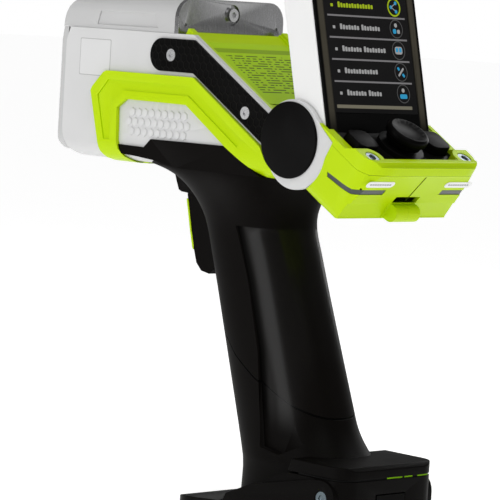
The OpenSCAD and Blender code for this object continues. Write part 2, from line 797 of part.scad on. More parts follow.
module chin_lower(i) {
    intersection() {
        chin_prism(i);
        chin_across(i);
        side(-60, 60) polygon(concat(
            [[6.2 + i, -head_drop], [9.5 + i, -21.8 + i], [28, -31.3 + i], [31 - i / 2, -31.3 + i],
             [37.6 - i, -23.2], [48.9 - i, -12.2], [50.4 - i, -11.6]],
            [chin_seam[2], chin_seam[1], chin_seam[0]]));
    }
}

module shield_cut() {
    for (right = [false, true]) flip(right) side(-60, -shield_back + 0.2) shield_outline(0.3);
}

module light_band(grow = 0) {
    for (right = [false, true]) flip(right)
        side(-60, -18 + grow) polygon([
            [24 - grow, -11.8 + grow], [37.9, -18.2 + grow], [60, -18.4 + grow],
            [60, -20.4 - grow], [37.2, -20.2 - grow], [24 - grow, -13.8 - grow]]);
}

module light_bars() {
    color("#5b6f7c") head() intersection() {
        difference() {
            chin_lower(0.3);
            chin_lower(1.4);
        }
        light_band();
    }
}

lug_half = 7.6;

module chin_shape() {
    difference() {
        union() {
            chin_lower(0);
            // centre lug below the dark slot
            side(-lug_half, lug_half) polygon(concat(
                [[30, -30]], arc([36.2, -28.6], 3.9, -110, 70, 8), [[34, -24]]));
        }
        chin_lower(shell_wall);
        // the hollow is open under the keypad
        slope_frame() translate([14, -chin_half + shell_wall, 6])
            cube([chin_reach - shell_wall - 16, 2 * (chin_half - shell_wall), 20]);
        // band below the face is set back, with a groove each side of the lug
        for (right = [false, true]) flip(right)
            side(-60, -lug_half - 0.1) polygon([
                [35.6, -24.4], [40, -24.4], [36, -32], [30.4, -32], [30.6, -30.6]]);
        side(-lug_half, lug_half) polygon([[33, -21.4], [45, -21.4], [45, -24], [34, -24]]);
        intersection() {
            difference() {
                chin_lower(-1);
                chin_lower(1.5);
            }
            light_band(0.1);
        }
        shield_cut();
        display_sweep(display_half + 0.6);
        // the chassis reaches into the chin
        side(-inner_half - seat_gap, inner_half + seat_gap) polygon([
            [0, -16.9], [10.2, -15.9], [16.2, -14.9], [22.3, -8.2], [26, 4], [0, 4]]);
    }
}

module chin_half_part(right) {
    color("#b4dc00") head() flip(right) intersection() {
        chin_shape();
        translate([-10, -60, -60]) cube([100, 60 - 0.05, 80]);
    }
}
module chin_left() { chin_half_part(false); }
module chin_right() { chin_half_part(true); }

module chin_rim() {
    color("#b9e000") head() difference() {
        intersection() {
            chin_prism(0);
            side(-60, 60) polygon(concat(
                [for (p = chin_seam) p + [0, 0.12]],
                [[60, -8], [50.3, -8], [49.2, -5.9], [47.4, -4.9]],
                [on_slope(42, rim_o), on_slope(34, rim_o), on_slope(29, arm_o), on_slope(9, arm_o)]));
        }
        slope_frame() difference() {
            translate([-20, -chin_half + side_rim, 0])
                cube([20 + keypad_end + seat_gap, 2 * (chin_half - side_rim), 40]);
            for (p = rim_screw_at) translate([p[0], p[1], 0]) cylinder(r = 5.9, h = 40);
        }
        for (p = rim_screw_at) slope_frame() {
            translate([p[0], p[1], 0]) cylinder(r = 1.6, h = 40);
            translate([p[0], p[1], rim_o - 1.4]) cylinder(r = 3.5, h = 40);
        }
        shield_cut();
        display_sweep(display_half + 0.6);
    }
}

module rim_screws() {
    color("#aeb4bd") head() slope_frame() for (p = rim_screw_at)
        translate([p[0], p[1], rim_o - 1.4]) difference() {
            union() {
                cylinder(r = 3.3, h = 1.1);
                translate([0, 0, -5.2]) cylinder(r = 1.5, h = 5.2 + eps);
            }
            translate([0, 0, 0.4]) cylinder(r = 1.7, h = 2, $fn = 6);
        }
}

// The buttons fill the deck between the pad and the rim
button_gap = 1.4;
button_w = chin_half - side_rim - nav_r - 6.8 - button_gap;
button_l = 13;
button_at = [for (k = [-1, 1]) [nav_s - 2.4, k * (chin_half - side_rim - button_gap - button_w / 2)]];
nav_top_o = 26;
nav_foot_o = 21.6;
board_o = 9;

module button_plan(grow = 0) { round_rect(button_l + 2 * grow, button_w + 2 * grow, 3.6 + grow); }

module keypad_deck() {
    color("#101114") head() difference() {
        slope_frame() difference() {
            union() {
                difference() {
                    translate([12, -chin_half + side_rim + seat_gap, deck_top_o - deck_t])
                        cube([keypad_end - 12, 2 * (chin_half - side_rim - seat_gap), deck_t]);
                    for (p = rim_screw_at) translate([p[0], p[1], 0]) cylinder(r = 6.1, h = 40);
                }
                translate([nav_s, 0, deck_top_o - deck_t]) cylinder(r = nav_r + 1, h = deck_t + 2.4);
                // posts that carry the board
                for (y = [-14, 14]) translate([keypad_end - 4, y, board_o + 1.6])
                    cylinder(r = 2, h = deck_top_o - board_o - 2);
            }
            translate([nav_s, 0, 0]) cylinder(r = 5 + running_fit, h = 40);
            for (p = button_at) translate([p[0], p[1], 0]) linear_extrude(40) button_plan(moving_gap);
        }
        display_sweep(display_half + 0.6);
    }
}

module keypad_board() {
    color("#1f6b3a") head() slope_frame() translate([nav_s - 6.6, -chin_half + 9.5, board_o])
        cube([keypad_end - nav_s + 5.4, 2 * (chin_half - 9.5), 1.6]);
}

module nav_pad() {
    color("#1a1b1e") head() slope_frame() translate([nav_s, 0, 0]) union() {
        translate([0, 0, board_o + 2.2 + key_travel]) cylinder(r = 5, h = deck_top_o - board_o + 2.2);
        rotate_extrude() polygon(concat(
            [[0, deck_top_o + 2.4 + key_travel + 0.4], [nav_r - 1.8, deck_top_o + 2.4 + key_travel + 0.4],
             [nav_r - 1.4, nav_foot_o], [nav_r, nav_foot_o + 0.8]],
            arc([nav_r - 1.6, nav_top_o - 1.6], 1.6, 0, 90, 5),
            [[nav_r - 4, nav_top_o - 0.7], [0, nav_top_o - 0.9]]));
    }
}

module key_button(i) {
    color("#222327") head() slope_frame() translate([button_at[i][0], button_at[i][1], 0]) {
        translate([0, 0, deck_top_o - deck_t - 1.2])
            linear_extrude(rim_o - 0.4 - deck_top_o + deck_t + 1.2) button_plan();
        translate([0, 0, deck_top_o - deck_t - 1.6]) linear_extrude(1.3) button_plan(1.2);
    }
}
module left_button() { key_button(0); }
module right_button() { key_button(1); }

// ---- display ----

screen_half = display_half - 6;
screen_l0 = 8.6;
screen_l1 = display_len - 5.4;

module display_outline() {
    polygon([
        [display_back, -1.5], [display_back, display_len - 6.5], [display_back + 2.4, display_len - 2.6],
        [display_face - 10, display_len - 0.8], [display_face - 4, display_len],
        [display_face, display_len], [display_face, -2]]);
}

module display_housing() {
    color("#e6e8e9") head() display_frame() difference() {
        union() {
            intersection() {
                side(-display_half, display_half) display_outline();
                translate([-20, -60, -20]) cube([20 + display_face - 1.3, 120, 140]);
            }
            y_pin(barrel_r, -display_half, display_half);
            side(-display_half, display_half) polygon([
                [0, -barrel_r], [display_back + 4, -3], [display_back + 4, 6], [0, barrel_r]]);
        }
        // hollow behind the glass
        translate([display_back + 2.2, -display_half + 2.2, 6])
            cube([display_face, 2 * display_half - 4.4, display_len - 12.6]);
        for (right = [false, true]) flip(right)
            y_pin(hinge_pin_r + running_fit, -display_half - 1, -display_half + 10.6);
    }
}

module display_bezel() {
    color("#0d0e10") head() display_frame() difference() {
        translate([display_face - 1.25, -display_half + 0.3, -1.6])
            cube([1.25, 2 * display_half - 0.6, display_len + 1.2]);
        translate([0, -screen_half, screen_l0]) cube([40, 2 * screen_half, screen_l1 - screen_l0]);
    }
}

module display_glass() {
    color("#15181c") head() display_frame()
        translate([display_face - 1.2, -screen_half + seat_gap, screen_l0 + seat_gap])
            cube([1, 2 * screen_half - 2 * seat_gap, screen_l1 - screen_l0 - 2 * seat_gap]);
}

module lcd_panel() {
    color("#22303a") head() display_frame() translate([display_back + 2.2, -display_half + 2.4, 8])
        cube([display_face - display_back - 3.6, 2 * display_half - 4.8, display_len - 16]);
}

// ---- foot and battery ----

foot_x1 = foot_len / 2 - hinge_x;
foot_x0 = -foot_len / 2 - hinge_x;
foot_half = foot_w / 2;
gasket_z = foot_top - 0.7;
cheek_r = 8;
cheek_at = [foot_x1 - 12, foot_bottom + 17.4];
latch_z = foot_bottom + 10;

// Corner radii of the foot in plan
heel_r = 9;
toe_r = 16;

module foot_plan(i) {
    polygon(concat(
        arc([foot_x1 - heel_r, foot_half - heel_r], heel_r - i, 90, 0),
        arc([foot_x1 - heel_r, -foot_half + heel_r], heel_r - i, 0, -90),
        arc([foot_x0 + toe_r, -foot_half + toe_r], toe_r - i, 270, 180, 8),
        arc([foot_x0 + toe_r, foot_half - toe_r], toe_r - i, 180, 90, 8)));
}

// Side view of the foot: a tall block behind the handle, sloping down to a low toe
function foot_pts() = [
    [foot_x1, foot_bottom], [foot_x1, gasket_z], [6, gasket_z], [-2, foot_bottom + 0.87 * foot_h],
    [-12, foot_bottom + 0.64 * foot_h], [-24.5, foot_bottom + 0.43 * foot_h],
    [-36, foot_bottom + 0.25 * foot_h],
    [foot_x0 + 8, foot_bottom + 5], [foot_x0 + 2, foot_bottom + 3.4], [foot_x0, foot_bottom + 1],
    [foot_x0, foot_bottom]];

module foot_shell() {
    color("#1a1b1d") head() difference() {
        union() {
            intersection() {
                translate([0, 0, foot_bottom]) linear_extrude(40) foot_plan(0);
                side(-60, 60) polygon(foot_pts());
            }
            // cheek on each side that carries the cross screw
            for (right = [false, true]) flip(right)
                side(-foot_half - 1.6, -foot_half + 5) polygon(concat(
                    [[cheek_at[0] + cheek_r, foot_bottom + 3]], arc(cheek_at, cheek_r, 0, 90),
                    [cheek_at + [-6, cheek_r - 0.3], cheek_at + [-42, 0.2], cheek_at + [-58, -6.4],
                     [cheek_at[0] - 62, foot_bottom + 3]]));
        }
        battery_well();
        for (right = [false, true]) flip(right) {
            y_pin(1.6, -foot_half - 5, -foot_half + 6, cheek_at[0], cheek_at[1]);
            y_pin(3.4, -foot_half - 5, -foot_half, cheek_at[0], cheek_at[1]);
        }
        // pocket for the latch
        translate([foot_x1 - 9, -9 - moving_gap, latch_z - moving_gap])
            cube([12, 18 + 2 * moving_gap, 9 + 2 * moving_gap]);
        x_pin(3 + running_fit, foot_x1 - 13.5, foot_x1, 0, latch_z + 4.5);
    }
}

module foot_gasket() {
    color("#8fc400") head() difference() {
        translate([0, 0, gasket_z]) linear_extrude(foot_top - gasket_z) intersection() {
            foot_plan(0.5);
            translate([12, -60]) square([60, 120]);
        }
        grip_loft();
        battery_well();
    }
}

module foot_cover() {
    color("#1d1e20") head() difference() {
        intersection() {
            translate([0, 0, foot_top]) linear_extrude(5.6) foot_plan(0);
            side(-60, 60) polygon([
                [foot_x1, foot_top], [foot_x1, foot_top + 3.6], [foot_x1 - 2, foot_top + 5.4],
                [8, foot_top + 5.6], [6, foot_top]]);
        }
        grip_loft();
        battery_well();
    }
}

module foot_screws() {
    color("#b7bbc0") head() for (right = [false, true]) flip(right) difference() {
        union() {
            y_pin(3.2, -foot_half - 1.2, -foot_half, cheek_at[0], cheek_at[1]);
            y_pin(1.5, -foot_half - eps, -foot_half + 6, cheek_at[0], cheek_at[1]);
        }
        translate([cheek_at[0], -foot_half - 0.5, cheek_at[1]]) rotate([90, 0, 0])
            cylinder(r = 1.6, h = 2, $fn = 6);
    }
}

module battery_block(z0, z1) {
    battery_frame() translate([-battery_d / 2, -battery_w / 2, z0]) cube([battery_d, battery_w, z1 - z0]);
}

module battery_pack() {
    color("#33476b") head() battery_block(0, battery_top);
}

module battery_cap() {
    color("#232427") head() intersection() {
        battery_block(-26, 0);
        translate([-100, -60, foot_bottom + 0.6]) cube([200, 120, 60]);
    }
}

latch_travel = 2.5;

module battery_latch() {
    color("#2c2e31") head() {
        translate([foot_x1 - 9 + latch_travel + 0.4, -9, latch_z]) cube([9 - latch_travel - 0.2, 18, 9]);
        x_pin(3, foot_x1 - 10.5, foot_x1 - 6, 0, latch_z + 4.5);
    }
}

module battery_contacts() {
    color("#c9a04a") head() battery_frame() for (y = [-6, 0, 6])
        translate([4, y - 1.2, battery_top + 0.3]) cube([4, 2.4, 7.7]);
}

side_shell_left();
side_shell_right();
nose_cover();
bulkhead_plate();
bulkhead_screw();
bay_gasket();
bay_tray();
bay_screws();
chassis();
bumper_left();
bumper_right();
strap_trim_left();
strap_trim_right();
strap_screws();
pivot_cap_left();
pivot_cap_right();
hinge_pins();
nose_plate();
window_frame();
window_film();
proximity_plunger();
plunger_spring();
engine_frame();
xray_tube();
detector();
filter_wheel();
filter_motor();
camera_module();
hv_supply();
main_board();
grip_left();
grip_right();
handle_sleeve();
trigger();
trigger_insert();
trigger_pin();
trigger_spring();
trigger_switch();
chin_rim();
chin_left();
chin_right();
light_bars();
rim_screws();
keypad_deck();
keypad_board();
nav_pad();
left_button();
right_button();
display_housing();
display_bezel();
display_glass();
lcd_panel();
foot_cover();
foot_gasket();
foot_shell();
foot_screws();
battery_pack();
battery_cap();
battery_latch();
battery_contacts();
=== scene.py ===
"""Looks for a handheld analyser with a flip-up display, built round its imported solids."""

import json
import logging
import math
from dataclasses import dataclass, field
from enum import Enum
from functools import reduce
from typing import Sequence

import bmesh
import bpy
from mathutils import Matrix, Vector

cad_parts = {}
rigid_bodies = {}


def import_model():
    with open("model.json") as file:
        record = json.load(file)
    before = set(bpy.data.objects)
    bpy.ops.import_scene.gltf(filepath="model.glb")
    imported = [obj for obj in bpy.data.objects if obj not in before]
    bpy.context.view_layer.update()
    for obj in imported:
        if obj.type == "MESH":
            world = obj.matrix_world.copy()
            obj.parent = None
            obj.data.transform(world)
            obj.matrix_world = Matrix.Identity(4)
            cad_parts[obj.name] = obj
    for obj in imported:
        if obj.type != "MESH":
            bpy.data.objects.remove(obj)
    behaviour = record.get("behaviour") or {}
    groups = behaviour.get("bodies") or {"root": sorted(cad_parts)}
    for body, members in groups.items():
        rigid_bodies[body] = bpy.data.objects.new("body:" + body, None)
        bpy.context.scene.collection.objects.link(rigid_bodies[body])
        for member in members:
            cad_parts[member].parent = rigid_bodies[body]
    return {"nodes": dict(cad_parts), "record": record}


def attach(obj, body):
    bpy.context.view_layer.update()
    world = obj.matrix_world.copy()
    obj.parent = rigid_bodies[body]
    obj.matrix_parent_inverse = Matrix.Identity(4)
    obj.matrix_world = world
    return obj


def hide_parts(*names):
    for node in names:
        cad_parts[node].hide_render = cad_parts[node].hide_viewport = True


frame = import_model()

LOG = logging.getLogger("analyser")
MM = 0.001
PER_MM = 1000.0
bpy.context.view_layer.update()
# The display's axis, in metres.
HINGE = (0.015, 0.0, 0.170)
# Faces that turn by less than this are one flat face.
FLAT_FACES = math.radians(0.6)
# A softened edge may be steeper than its limit by this many degrees and still shade smooth.
STILL_SMOOTH = 20.0
# Colour sockets of a Mix node.
MIX_FIRST, MIX_SECOND, MIX_RESULT = 6, 7, 2

Colour = tuple[float, float, float]
# Two or three numbers: a place, or two or three sizes.
Point = tuple[float, float]
Spot = tuple[float, float, float]
# A plate's width, height, corner radius and thickness.
Sheet = tuple[float, float, float, float]
Shape = bmesh.types.BMesh
Element = bmesh.types.BMVert | bmesh.types.BMEdge | bmesh.types.BMFace
Material = bpy.types.Material
Piece = bpy.types.Object


def tint(colour: Colour, share: float) -> Colour:
    """A colour made darker or lighter, with no channel above 1."""
    return tuple(min(1.0, channel * share) for channel in colour)


# ---------------------------------------------------------------- shader sums


class Wire:
    """A shader socket that adds Math nodes when it is used in a sum."""

    def __init__(self, shader: "Shader", socket: bpy.types.NodeSocket) -> None:
        """Wraps one output socket of the shader's tree."""
        self.shader = shader
        self.socket = socket

    def _math(self, operation: str, *values: object) -> "Wire":
        """Adds one Math node.

        Args:
            operation: The node's operation.
            values: Wires or numbers for its sockets, in order.

        Returns:
            The node's result.
        """
        return self.shader.add("ShaderNodeMath", {"operation": operation}, dict(enumerate(values)))

    def __add__(self, other: object) -> "Wire":
        """Sum."""
        return self._math("ADD", self, other)

    def __radd__(self, other: object) -> "Wire":
        """Sum with a number in front."""
        return self._math("ADD", other, self)

    def __sub__(self, other: object) -> "Wire":
        """Difference."""
        return self._math("SUBTRACT", self, other)

    def __rsub__(self, other: object) -> "Wire":
        """Difference with a number in front."""
        return self._math("SUBTRACT", other, self)

    def __mul__(self, other: object) -> "Wire":
        """Product."""
        return self._math("MULTIPLY", self, other)

    def __rmul__(self, other: object) -> "Wire":
        """Product with a number in front."""
        return self._math("MULTIPLY", other, self)

    def __truediv__(self, other: object) -> "Wire":
        """Quotient."""
        return self._math("DIVIDE", self, other)

    def __gt__(self, other: object) -> "Wire":
        """One where this value is greater."""
        return self._math("GREATER_THAN", self, other)

    def __lt__(self, other: object) -> "Wire":
        """One where this value is less."""
        return self._math("LESS_THAN", self, other)

    def __abs__(self) -> "Wire":
        """Size without sign."""
        return self._math("ABSOLUTE", self)

    def whole(self) -> "Wire":
        """Largest whole number below the value."""
        return self._math("FLOOR", self)

    def fraction(self) -> "Wire":
        """Part after the whole number."""
        return self._math("FRACT", self)

    def wrap(self, high: float, low: float) -> "Wire":
        """Value carried round between two limits."""
        return self._math("WRAP", self, high, low)

    def largest(self, other: object) -> "Wire":
        """Greater of two values."""
        return self._math("MAXIMUM", self, other)

    def smallest(self, other: object) -> "Wire":
        """Lesser of two values."""
        return self._math("MINIMUM", self, other)

    def sine(self) -> "Wire":
        """Sine of the value."""
        return self._math("SINE", self)

    def step(self, low: float, high: float) -> "Wire":
        """Soft step from 0 at low to 1 at high."""
        return self.shader.add(
            "ShaderNodeMapRange",
            {"interpolation_type": "SMOOTHSTEP"},
            {"Value": self, "From Min": low, "From Max": high},
        )

    def between(self, rise: Point, fall: Point) -> "Wire":
        """Soft band: 0, then 1 from the rise on, then 0 from the fall on."""
        return self.step(*rise) * (1.0 - self.step(*fall))


class Shader:
    """One material's node tree."""

    def __init__(self, name: str) -> None:
        """Starts a material with one Principled node.

        Args:
            name: The material's name.
        """
        self.material = bpy.data.materials.new(name)
        self.material.use_nodes = True
        self.tree = self.material.node_tree
        self.tree.nodes.clear()
        self.surface = self.tree.nodes.new("ShaderNodeBsdfPrincipled")
        output = self.tree.nodes.new("ShaderNodeOutputMaterial")
        self.tree.links.new(self.surface.outputs[0], output.inputs[0])
        self.raw_place: Wire | None = None

    def add(self, kind: str, settings: dict, inputs: dict, output: int | str = 0) -> Wire:
        """Adds any node.

        Args:
            kind: The node's type.
            settings: Properties of the node, which are set first.
            inputs: Values or wires for its sockets.
            output: Which of its outputs to return.

        Returns:
            The chosen output.
        """
        node = self.tree.nodes.new(kind)
        for key, value in settings.items():
            setattr(node, key, value)
        for key, value in inputs.items():
            self.feed(node.inputs[key], value)
        return Wire(self, node.outputs[output])

    def feed(self, socket: bpy.types.NodeSocket, value: object) -> None:
        """Links a wire to an input, or sets the input's value.

        Args:
            socket: The input.
            value: A wire, a number, a vector, or a colour of three numbers.
        """
        if isinstance(value, Wire):
            self.tree.links.new(value.socket, socket)
        elif socket.type == "RGBA":
            socket.default_value = (*value, 1.0)
        else:
            socket.default_value = value

    def vector(self, operation: str, inputs: dict) -> Wire:
        """Adds one Vector Math node."""
        return self.add("ShaderNodeVectorMath", {"operation": operation}, inputs)

    def place(self, centre: Spot = (0, 0, 0), turn: float = 0.0, size: float = 1.0) -> Wire:
        """Object coordinates, in millimetres if size is 1000.

        Args:
            centre: Point that becomes the origin, in metres.
            turn: Turn about the y axis that is taken out, in degrees.
            size: Scale after the turn.

        Returns:
            A vector.
        """
        if self.raw_place is None:
            self.raw_place = self.add("ShaderNodeTexCoord", {}, {}, "Object")
        moved = self.vector("SUBTRACT", {0: self.raw_place, 1: centre})
        if turn:
            moved = self.add(
                "ShaderNodeVectorRotate",
                {"rotation_type": "Y_AXIS"},
                {"Vector": moved, "Angle": -math.radians(turn)},
            )
        if size != 1.0:
            moved = self.vector("SCALE", {0: moved, "Scale": size})
        return moved

    def parts(self, vector: Wire) -> tuple[Wire, Wire, Wire]:
        """Splits a vector into its three values.

        Args:
            vector: The vector.

        Returns:
            Its x, y and z.
        """
        first = self.add("ShaderNodeSeparateXYZ", {}, {0: vector})
        node = first.socket.node
        return first, Wire(self, node.outputs[1]), Wire(self, node.outputs[2])

    def noise(
        self, scale: float, detail: float = 3.0, roughness: float = 0.55, vector: Wire | None = None
    ) -> Wire:
        """Soft noise from 0 to 1 on Object coordinates."""
        values = {"Scale": scale, "Detail": detail, "Roughness": roughness}
        return self.add("ShaderNodeTexNoise", {}, {"Vector": vector or self.place(), **values})

    def smears(self) -> Wire:
        """Faint handling marks, from 0 to 1."""
        return self.noise(70.0, 5.0, 0.65)

    def mix(self, factor: object, first: object, second: object) -> Wire:
        """Blends two colours, each a wire or three numbers."""
        colours = {0: factor, MIX_FIRST: first, MIX_SECOND: second}
        return self.add("ShaderNodeMix", {"data_type": "RGBA"}, colours, MIX_RESULT)

    def put(self, socket: str, value: object) -> None:
        """Sets or links one input of the surface."""
        self.feed(self.surface.inputs[socket], value)

    def paint(self, colour: object, roughness: object, specular: float = 0.5) -> None:
        """Sets the surface's colour, roughness and shine.

        Args:
            colour: A wire or three numbers.
            roughness: A wire or a number.
            specular: The specular level.
        """
        self.put("Base Color", colour)
        self.put("Roughness", roughness)
        self.put("Specular IOR Level", specular)

    def relief(self, height: Wire, depth_mm: float) -> None:
        """Raises the surface by a height from 0 to 1."""
        bump = {"Height": height, "Distance": depth_mm * MM, "Strength": 1.0}
        self.put("Normal", self.add("ShaderNodeBump", {}, bump))


# ---------------------------------------------------------------- finishes


class Coat:
    """A finish that can be made into a material."""

    def make(self, name: str) -> Material:
        """Makes the material.

        Args:
            name: The material's name.

        Returns:
            The material.
        """
        shader = Shader(name)
        self.dress(shader)
        return shader.material

    def dress(self, s: Shader) -> None:
        """Wires the finish into a shader."""
        raise NotImplementedError


@dataclass(frozen=True)
class Moulded(Coat):
    """Moulded plastic with a fine grain and slight mottling."""

    colour: Colour
    roughness: float = 0.45
    grain_per_m: float = 2600.0
    grain_mm: float = 0.02
    mottle: float = 0.05
    specular: float = 0.5

    def dress(self, s: Shader) -> None:
        """Wires the finish.

        Args:
            s: The shader that it dresses.
        """
        cloud = s.noise(38.0, 4.0)
        fine = s.noise(self.grain_per_m, 2.0)
        dark, light = tint(self.colour, 1.0 - self.mottle), tint(self.colour, 1.0 + self.mottle)
        s.paint(s.mix(cloud, dark, light), self.roughness - 0.05 + cloud * 0.1, self.specular)
        s.relief(fine, self.grain_mm)


@dataclass(frozen=True)
class Brushed(Coat):
    """Metal with fine lines along one axis."""

    colour: Colour
    stretch: Spot = (1.0, 1.0, 30.0)
    roughness: float = 0.32
    lines_per_m: float = 260.0
    lines_mm: float = 0.008

    def dress(self, s: Shader) -> None:
        """Wires the finish.

        Args:
            s: The shader that it dresses.
        """
        drawn = s.vector("MULTIPLY", {0: s.place(), 1: self.stretch})
        lines = s.noise(self.lines_per_m, 3.0, 0.6, drawn)
        cloud = s.noise(60.0)
        colour = s.mix(lines, tint(self.colour, 0.82), self.colour)
        s.put("Metallic", 1.0)
        s.paint(colour, self.roughness - 0.08 + lines * 0.12 + cloud * 0.08)
        s.relief(lines, self.lines_mm)


@dataclass(frozen=True)
class Honeycomb(Coat):
    """Black strap with small sunk hexagons, their floors darkened as painted shade."""

    colour: Colour
    pitch_mm: float = 3.7
    depth_mm: float = 0.5
    wall: Point = (0.39, 0.46)
    roughness: float = 0.42
    specular: float = 0.045

    def dress(self, s: Shader) -> None:
        """Wires the finish.

        Args:
            s: The shader that it dresses.
        """
        x, _, z = s.parts(s.place(size=PER_MM / self.pitch_mm))
        tall = math.sqrt(3.0)
        cells = []
        for shift in (0.0, 0.5):
            across = abs((x + shift).wrap(0.5, -0.5))
            up = abs((z + shift * tall).wrap(tall / 2, -tall / 2))
            cells.append((across * 0.5 + up * (tall / 2)).largest(across))
        wall = cells[0].smallest(cells[1]).step(*self.wall)
        # Painted shade: the sunk floor of each hexagon is made far darker than the walls.
        colour = s.mix(wall, tint(self.colour, 0.2), self.colour)
        s.paint(colour, self.roughness + s.noise(900.0) * 0.1, self.specular)
        s.relief(wall, self.depth_mm)


@dataclass(frozen=True)
class SoftGrip(Coat):
    """Soft black moulding with a polished panel on each side, painted shade along the panel's front
    edge, and the groove above the sleeve.

    The groove follows points behind the hinge and above the foot. The panel's front edge
    follows points above and behind the hinge. Both are in millimetres.
    """

    colour: Colour
    roughness: float = 0.5
    specular: float = 0.035
    foot_mm: float = 26.4
    seam: tuple[Point, ...] = (
        (-80.0, 66.6), (-48.0, 50.7), (-41.3, 44.7), (-28.3, 36.5), (-14.3, 29.8),
        (9.0, 20.6), (60.0, 1.6),
    )
    groove: Point = (0.12, 0.5)
    edge: tuple[Point, ...] = ((-41.4, -45.3), (-65.2, -35.9), (-95.7, -26.6), (-137.5, -20.0))
    panel_height: tuple[Point, Point] = ((-132.0, -116.0), (-41.8, -41.2))
    panel_depth: tuple[Point, Point] = ((2.0, 6.0), (18.0, 26.0))
    strip_depth: tuple[Point, Point] = ((-0.1, 0.3), (2.0, 5.0))

    @staticmethod
    def _lines(x: Wire, points: Sequence[Point]) -> list[Wire]:
        """Heights of the straight lines through each two neighbouring points.

        Args:
            x: Where the heights are wanted.
            points: The points, each its place along x and its height.

        Returns:
            One height for each line.
        """
        heights = []
        for (x0, z0), (x1, z1) in zip(points, points[1:]):
            slope = (z1 - z0) / (x1 - x0)
            heights.append(x * slope + (z0 - slope * x0))
        return heights

    def _panel(self, x: Wire, height: Wire) -> tuple[Wire, Wire]:
        """Marks the polished panel and the strip of painted shade along its front edge.

        Args:
            x: Distance behind the hinge, in millimetres.
            height: Height above the hinge, in millimetres.

        Returns:
            The panel's mask and the strip's.
        """
        behind = x - reduce(Wire.smallest, self._lines(height, self.edge))
        tall = height.between(*self.panel_height)
        return behind.between(*self.panel_depth) * tall, behind.between(*self.strip_depth) * tall

    def dress(self, s: Shader) -> None:
        """Wires the finish.

        Args:
            s: The shader that it dresses.
        """
        x, _, z = s.parts(s.place((HINGE[0], 0.0, self.foot_mm * MM), size=PER_MM))
        first, *others = self._lines(x, self.seam)
        height = reduce(Wire.largest, others).smallest(first)
        groove = 1.0 - abs(z - height).step(*self.groove)
        panel, strip = self._panel(x, z - (HINGE[2] * PER_MM - self.foot_mm))
        cloud = s.noise(45.0)
        fine = s.noise(3200.0, 2.0)
        skin = s.mix(cloud, tint(self.colour, 0.8), tint(self.colour, 1.25))
        # The groove is dark; the strip along the panel's front edge is darkened towards black as
        # painted shade.
        colour = s.mix(groove.largest(strip * 0.7), skin, (0.0, 0.0, 0.0))
        s.paint(colour, self.roughness + cloud * 0.06 + groove * 0.3, self.specular)
        s.put("Coat Weight", panel * 0.26)
        s.put("Coat Roughness", 0.22)
        s.relief(fine * 0.04 - groove, 0.5)


@dataclass(frozen=True)
class Gloss(Coat):
    """Polished plastic with faint handling marks."""

    colour: Colour
    roughness: float = 0.16
    coat: float = 0.0
    specular: float = 0.14

    def dress(self, s: Shader) -> None:
        """Wires the finish.

        Args:
            s: The shader that it dresses.
        """
        smear = s.smears()
        colour = s.mix(smear, tint(self.colour, 0.85), tint(self.colour, 1.15))
        s.paint(colour, self.roughness + smear * 0.1, self.specular)
        s.put("Coat Weight", self.coat)
        s.put("Coat Roughness", 0.08)
        s.relief(smear, 0.01)


@dataclass(frozen=True)
class Framed(Coat):
    """Black polished frame with a painted warm reflection down each side of the screen."""

    colour: Colour
    band: Colour
    across_mm: tuple[Point, Point] = ((26.3, 27.9), (30.0, 31.2))
    fade_mm: Point = (172.0, 186.0)

    def dress(self, s: Shader) -> None:
        """Wires the finish.

        Args:
            s: The shader that it dresses.
        """
        _, y, z = s.parts(s.place(size=PER_MM))
        # Painted reflection: a warm tint down each side of the screen, above a set height.
        band = abs(y).between(*self.across_mm) * z.step(*self.fade_mm)
        smear = s.smears()
        s.paint(s.mix(band * (0.75 + smear * 0.4), self.colour, self.band), 0.2 + smear * 0.1, 0.05)
        s.relief(smear, 0.01)


@dataclass(frozen=True)
class Gasket(Coat):
    """Dark seal that shows lime along part of the rear face, with two dark breaks."""

    colour: Colour
    dark: Colour
    rear_mm: Point = (52.0, 52.3)
    start_mm: Point = (-2.5, -2.2)
    breaks_mm: tuple[Point, ...] = ((8.15, 0.6), (15.6, 1.5))

    def dress(self, s: Shader) -> None:
        """Wires the finish.

        Args:
            s: The shader that it dresses.
        """
        x, y, _ = s.parts(s.place(size=PER_MM))
        shown = x.step(*self.rear_mm) * y.step(*self.start_mm)
        for middle, half in self.breaks_mm:
            shown = shown * abs(y - middle).step(half, half + 0.2)
        cloud = s.noise(120.0)
        s.paint(s.mix(shown * (0.8 + cloud * 0.4), self.dark, self.colour), 0.5 + cloud * 0.1, 0.08)
        s.relief(cloud, 0.02)


@dataclass(frozen=True)
class Glow(Coat):
    """Lit mark on the screen."""

    colour: Colour

    def dress(self, s: Shader) -> None:
        """Wires the finish.

        Args:
            s: The shader that it dresses.
        """
        grid = s.noise(1800.0, 1.0)
        s.paint(tint(self.colour, 0.2), 0.3 + grid * 0.1)
        s.put("Emission Color", s.mix(grid, tint(self.colour, 0.86), self.colour))
        s.put("Emission Strength", 1.0)


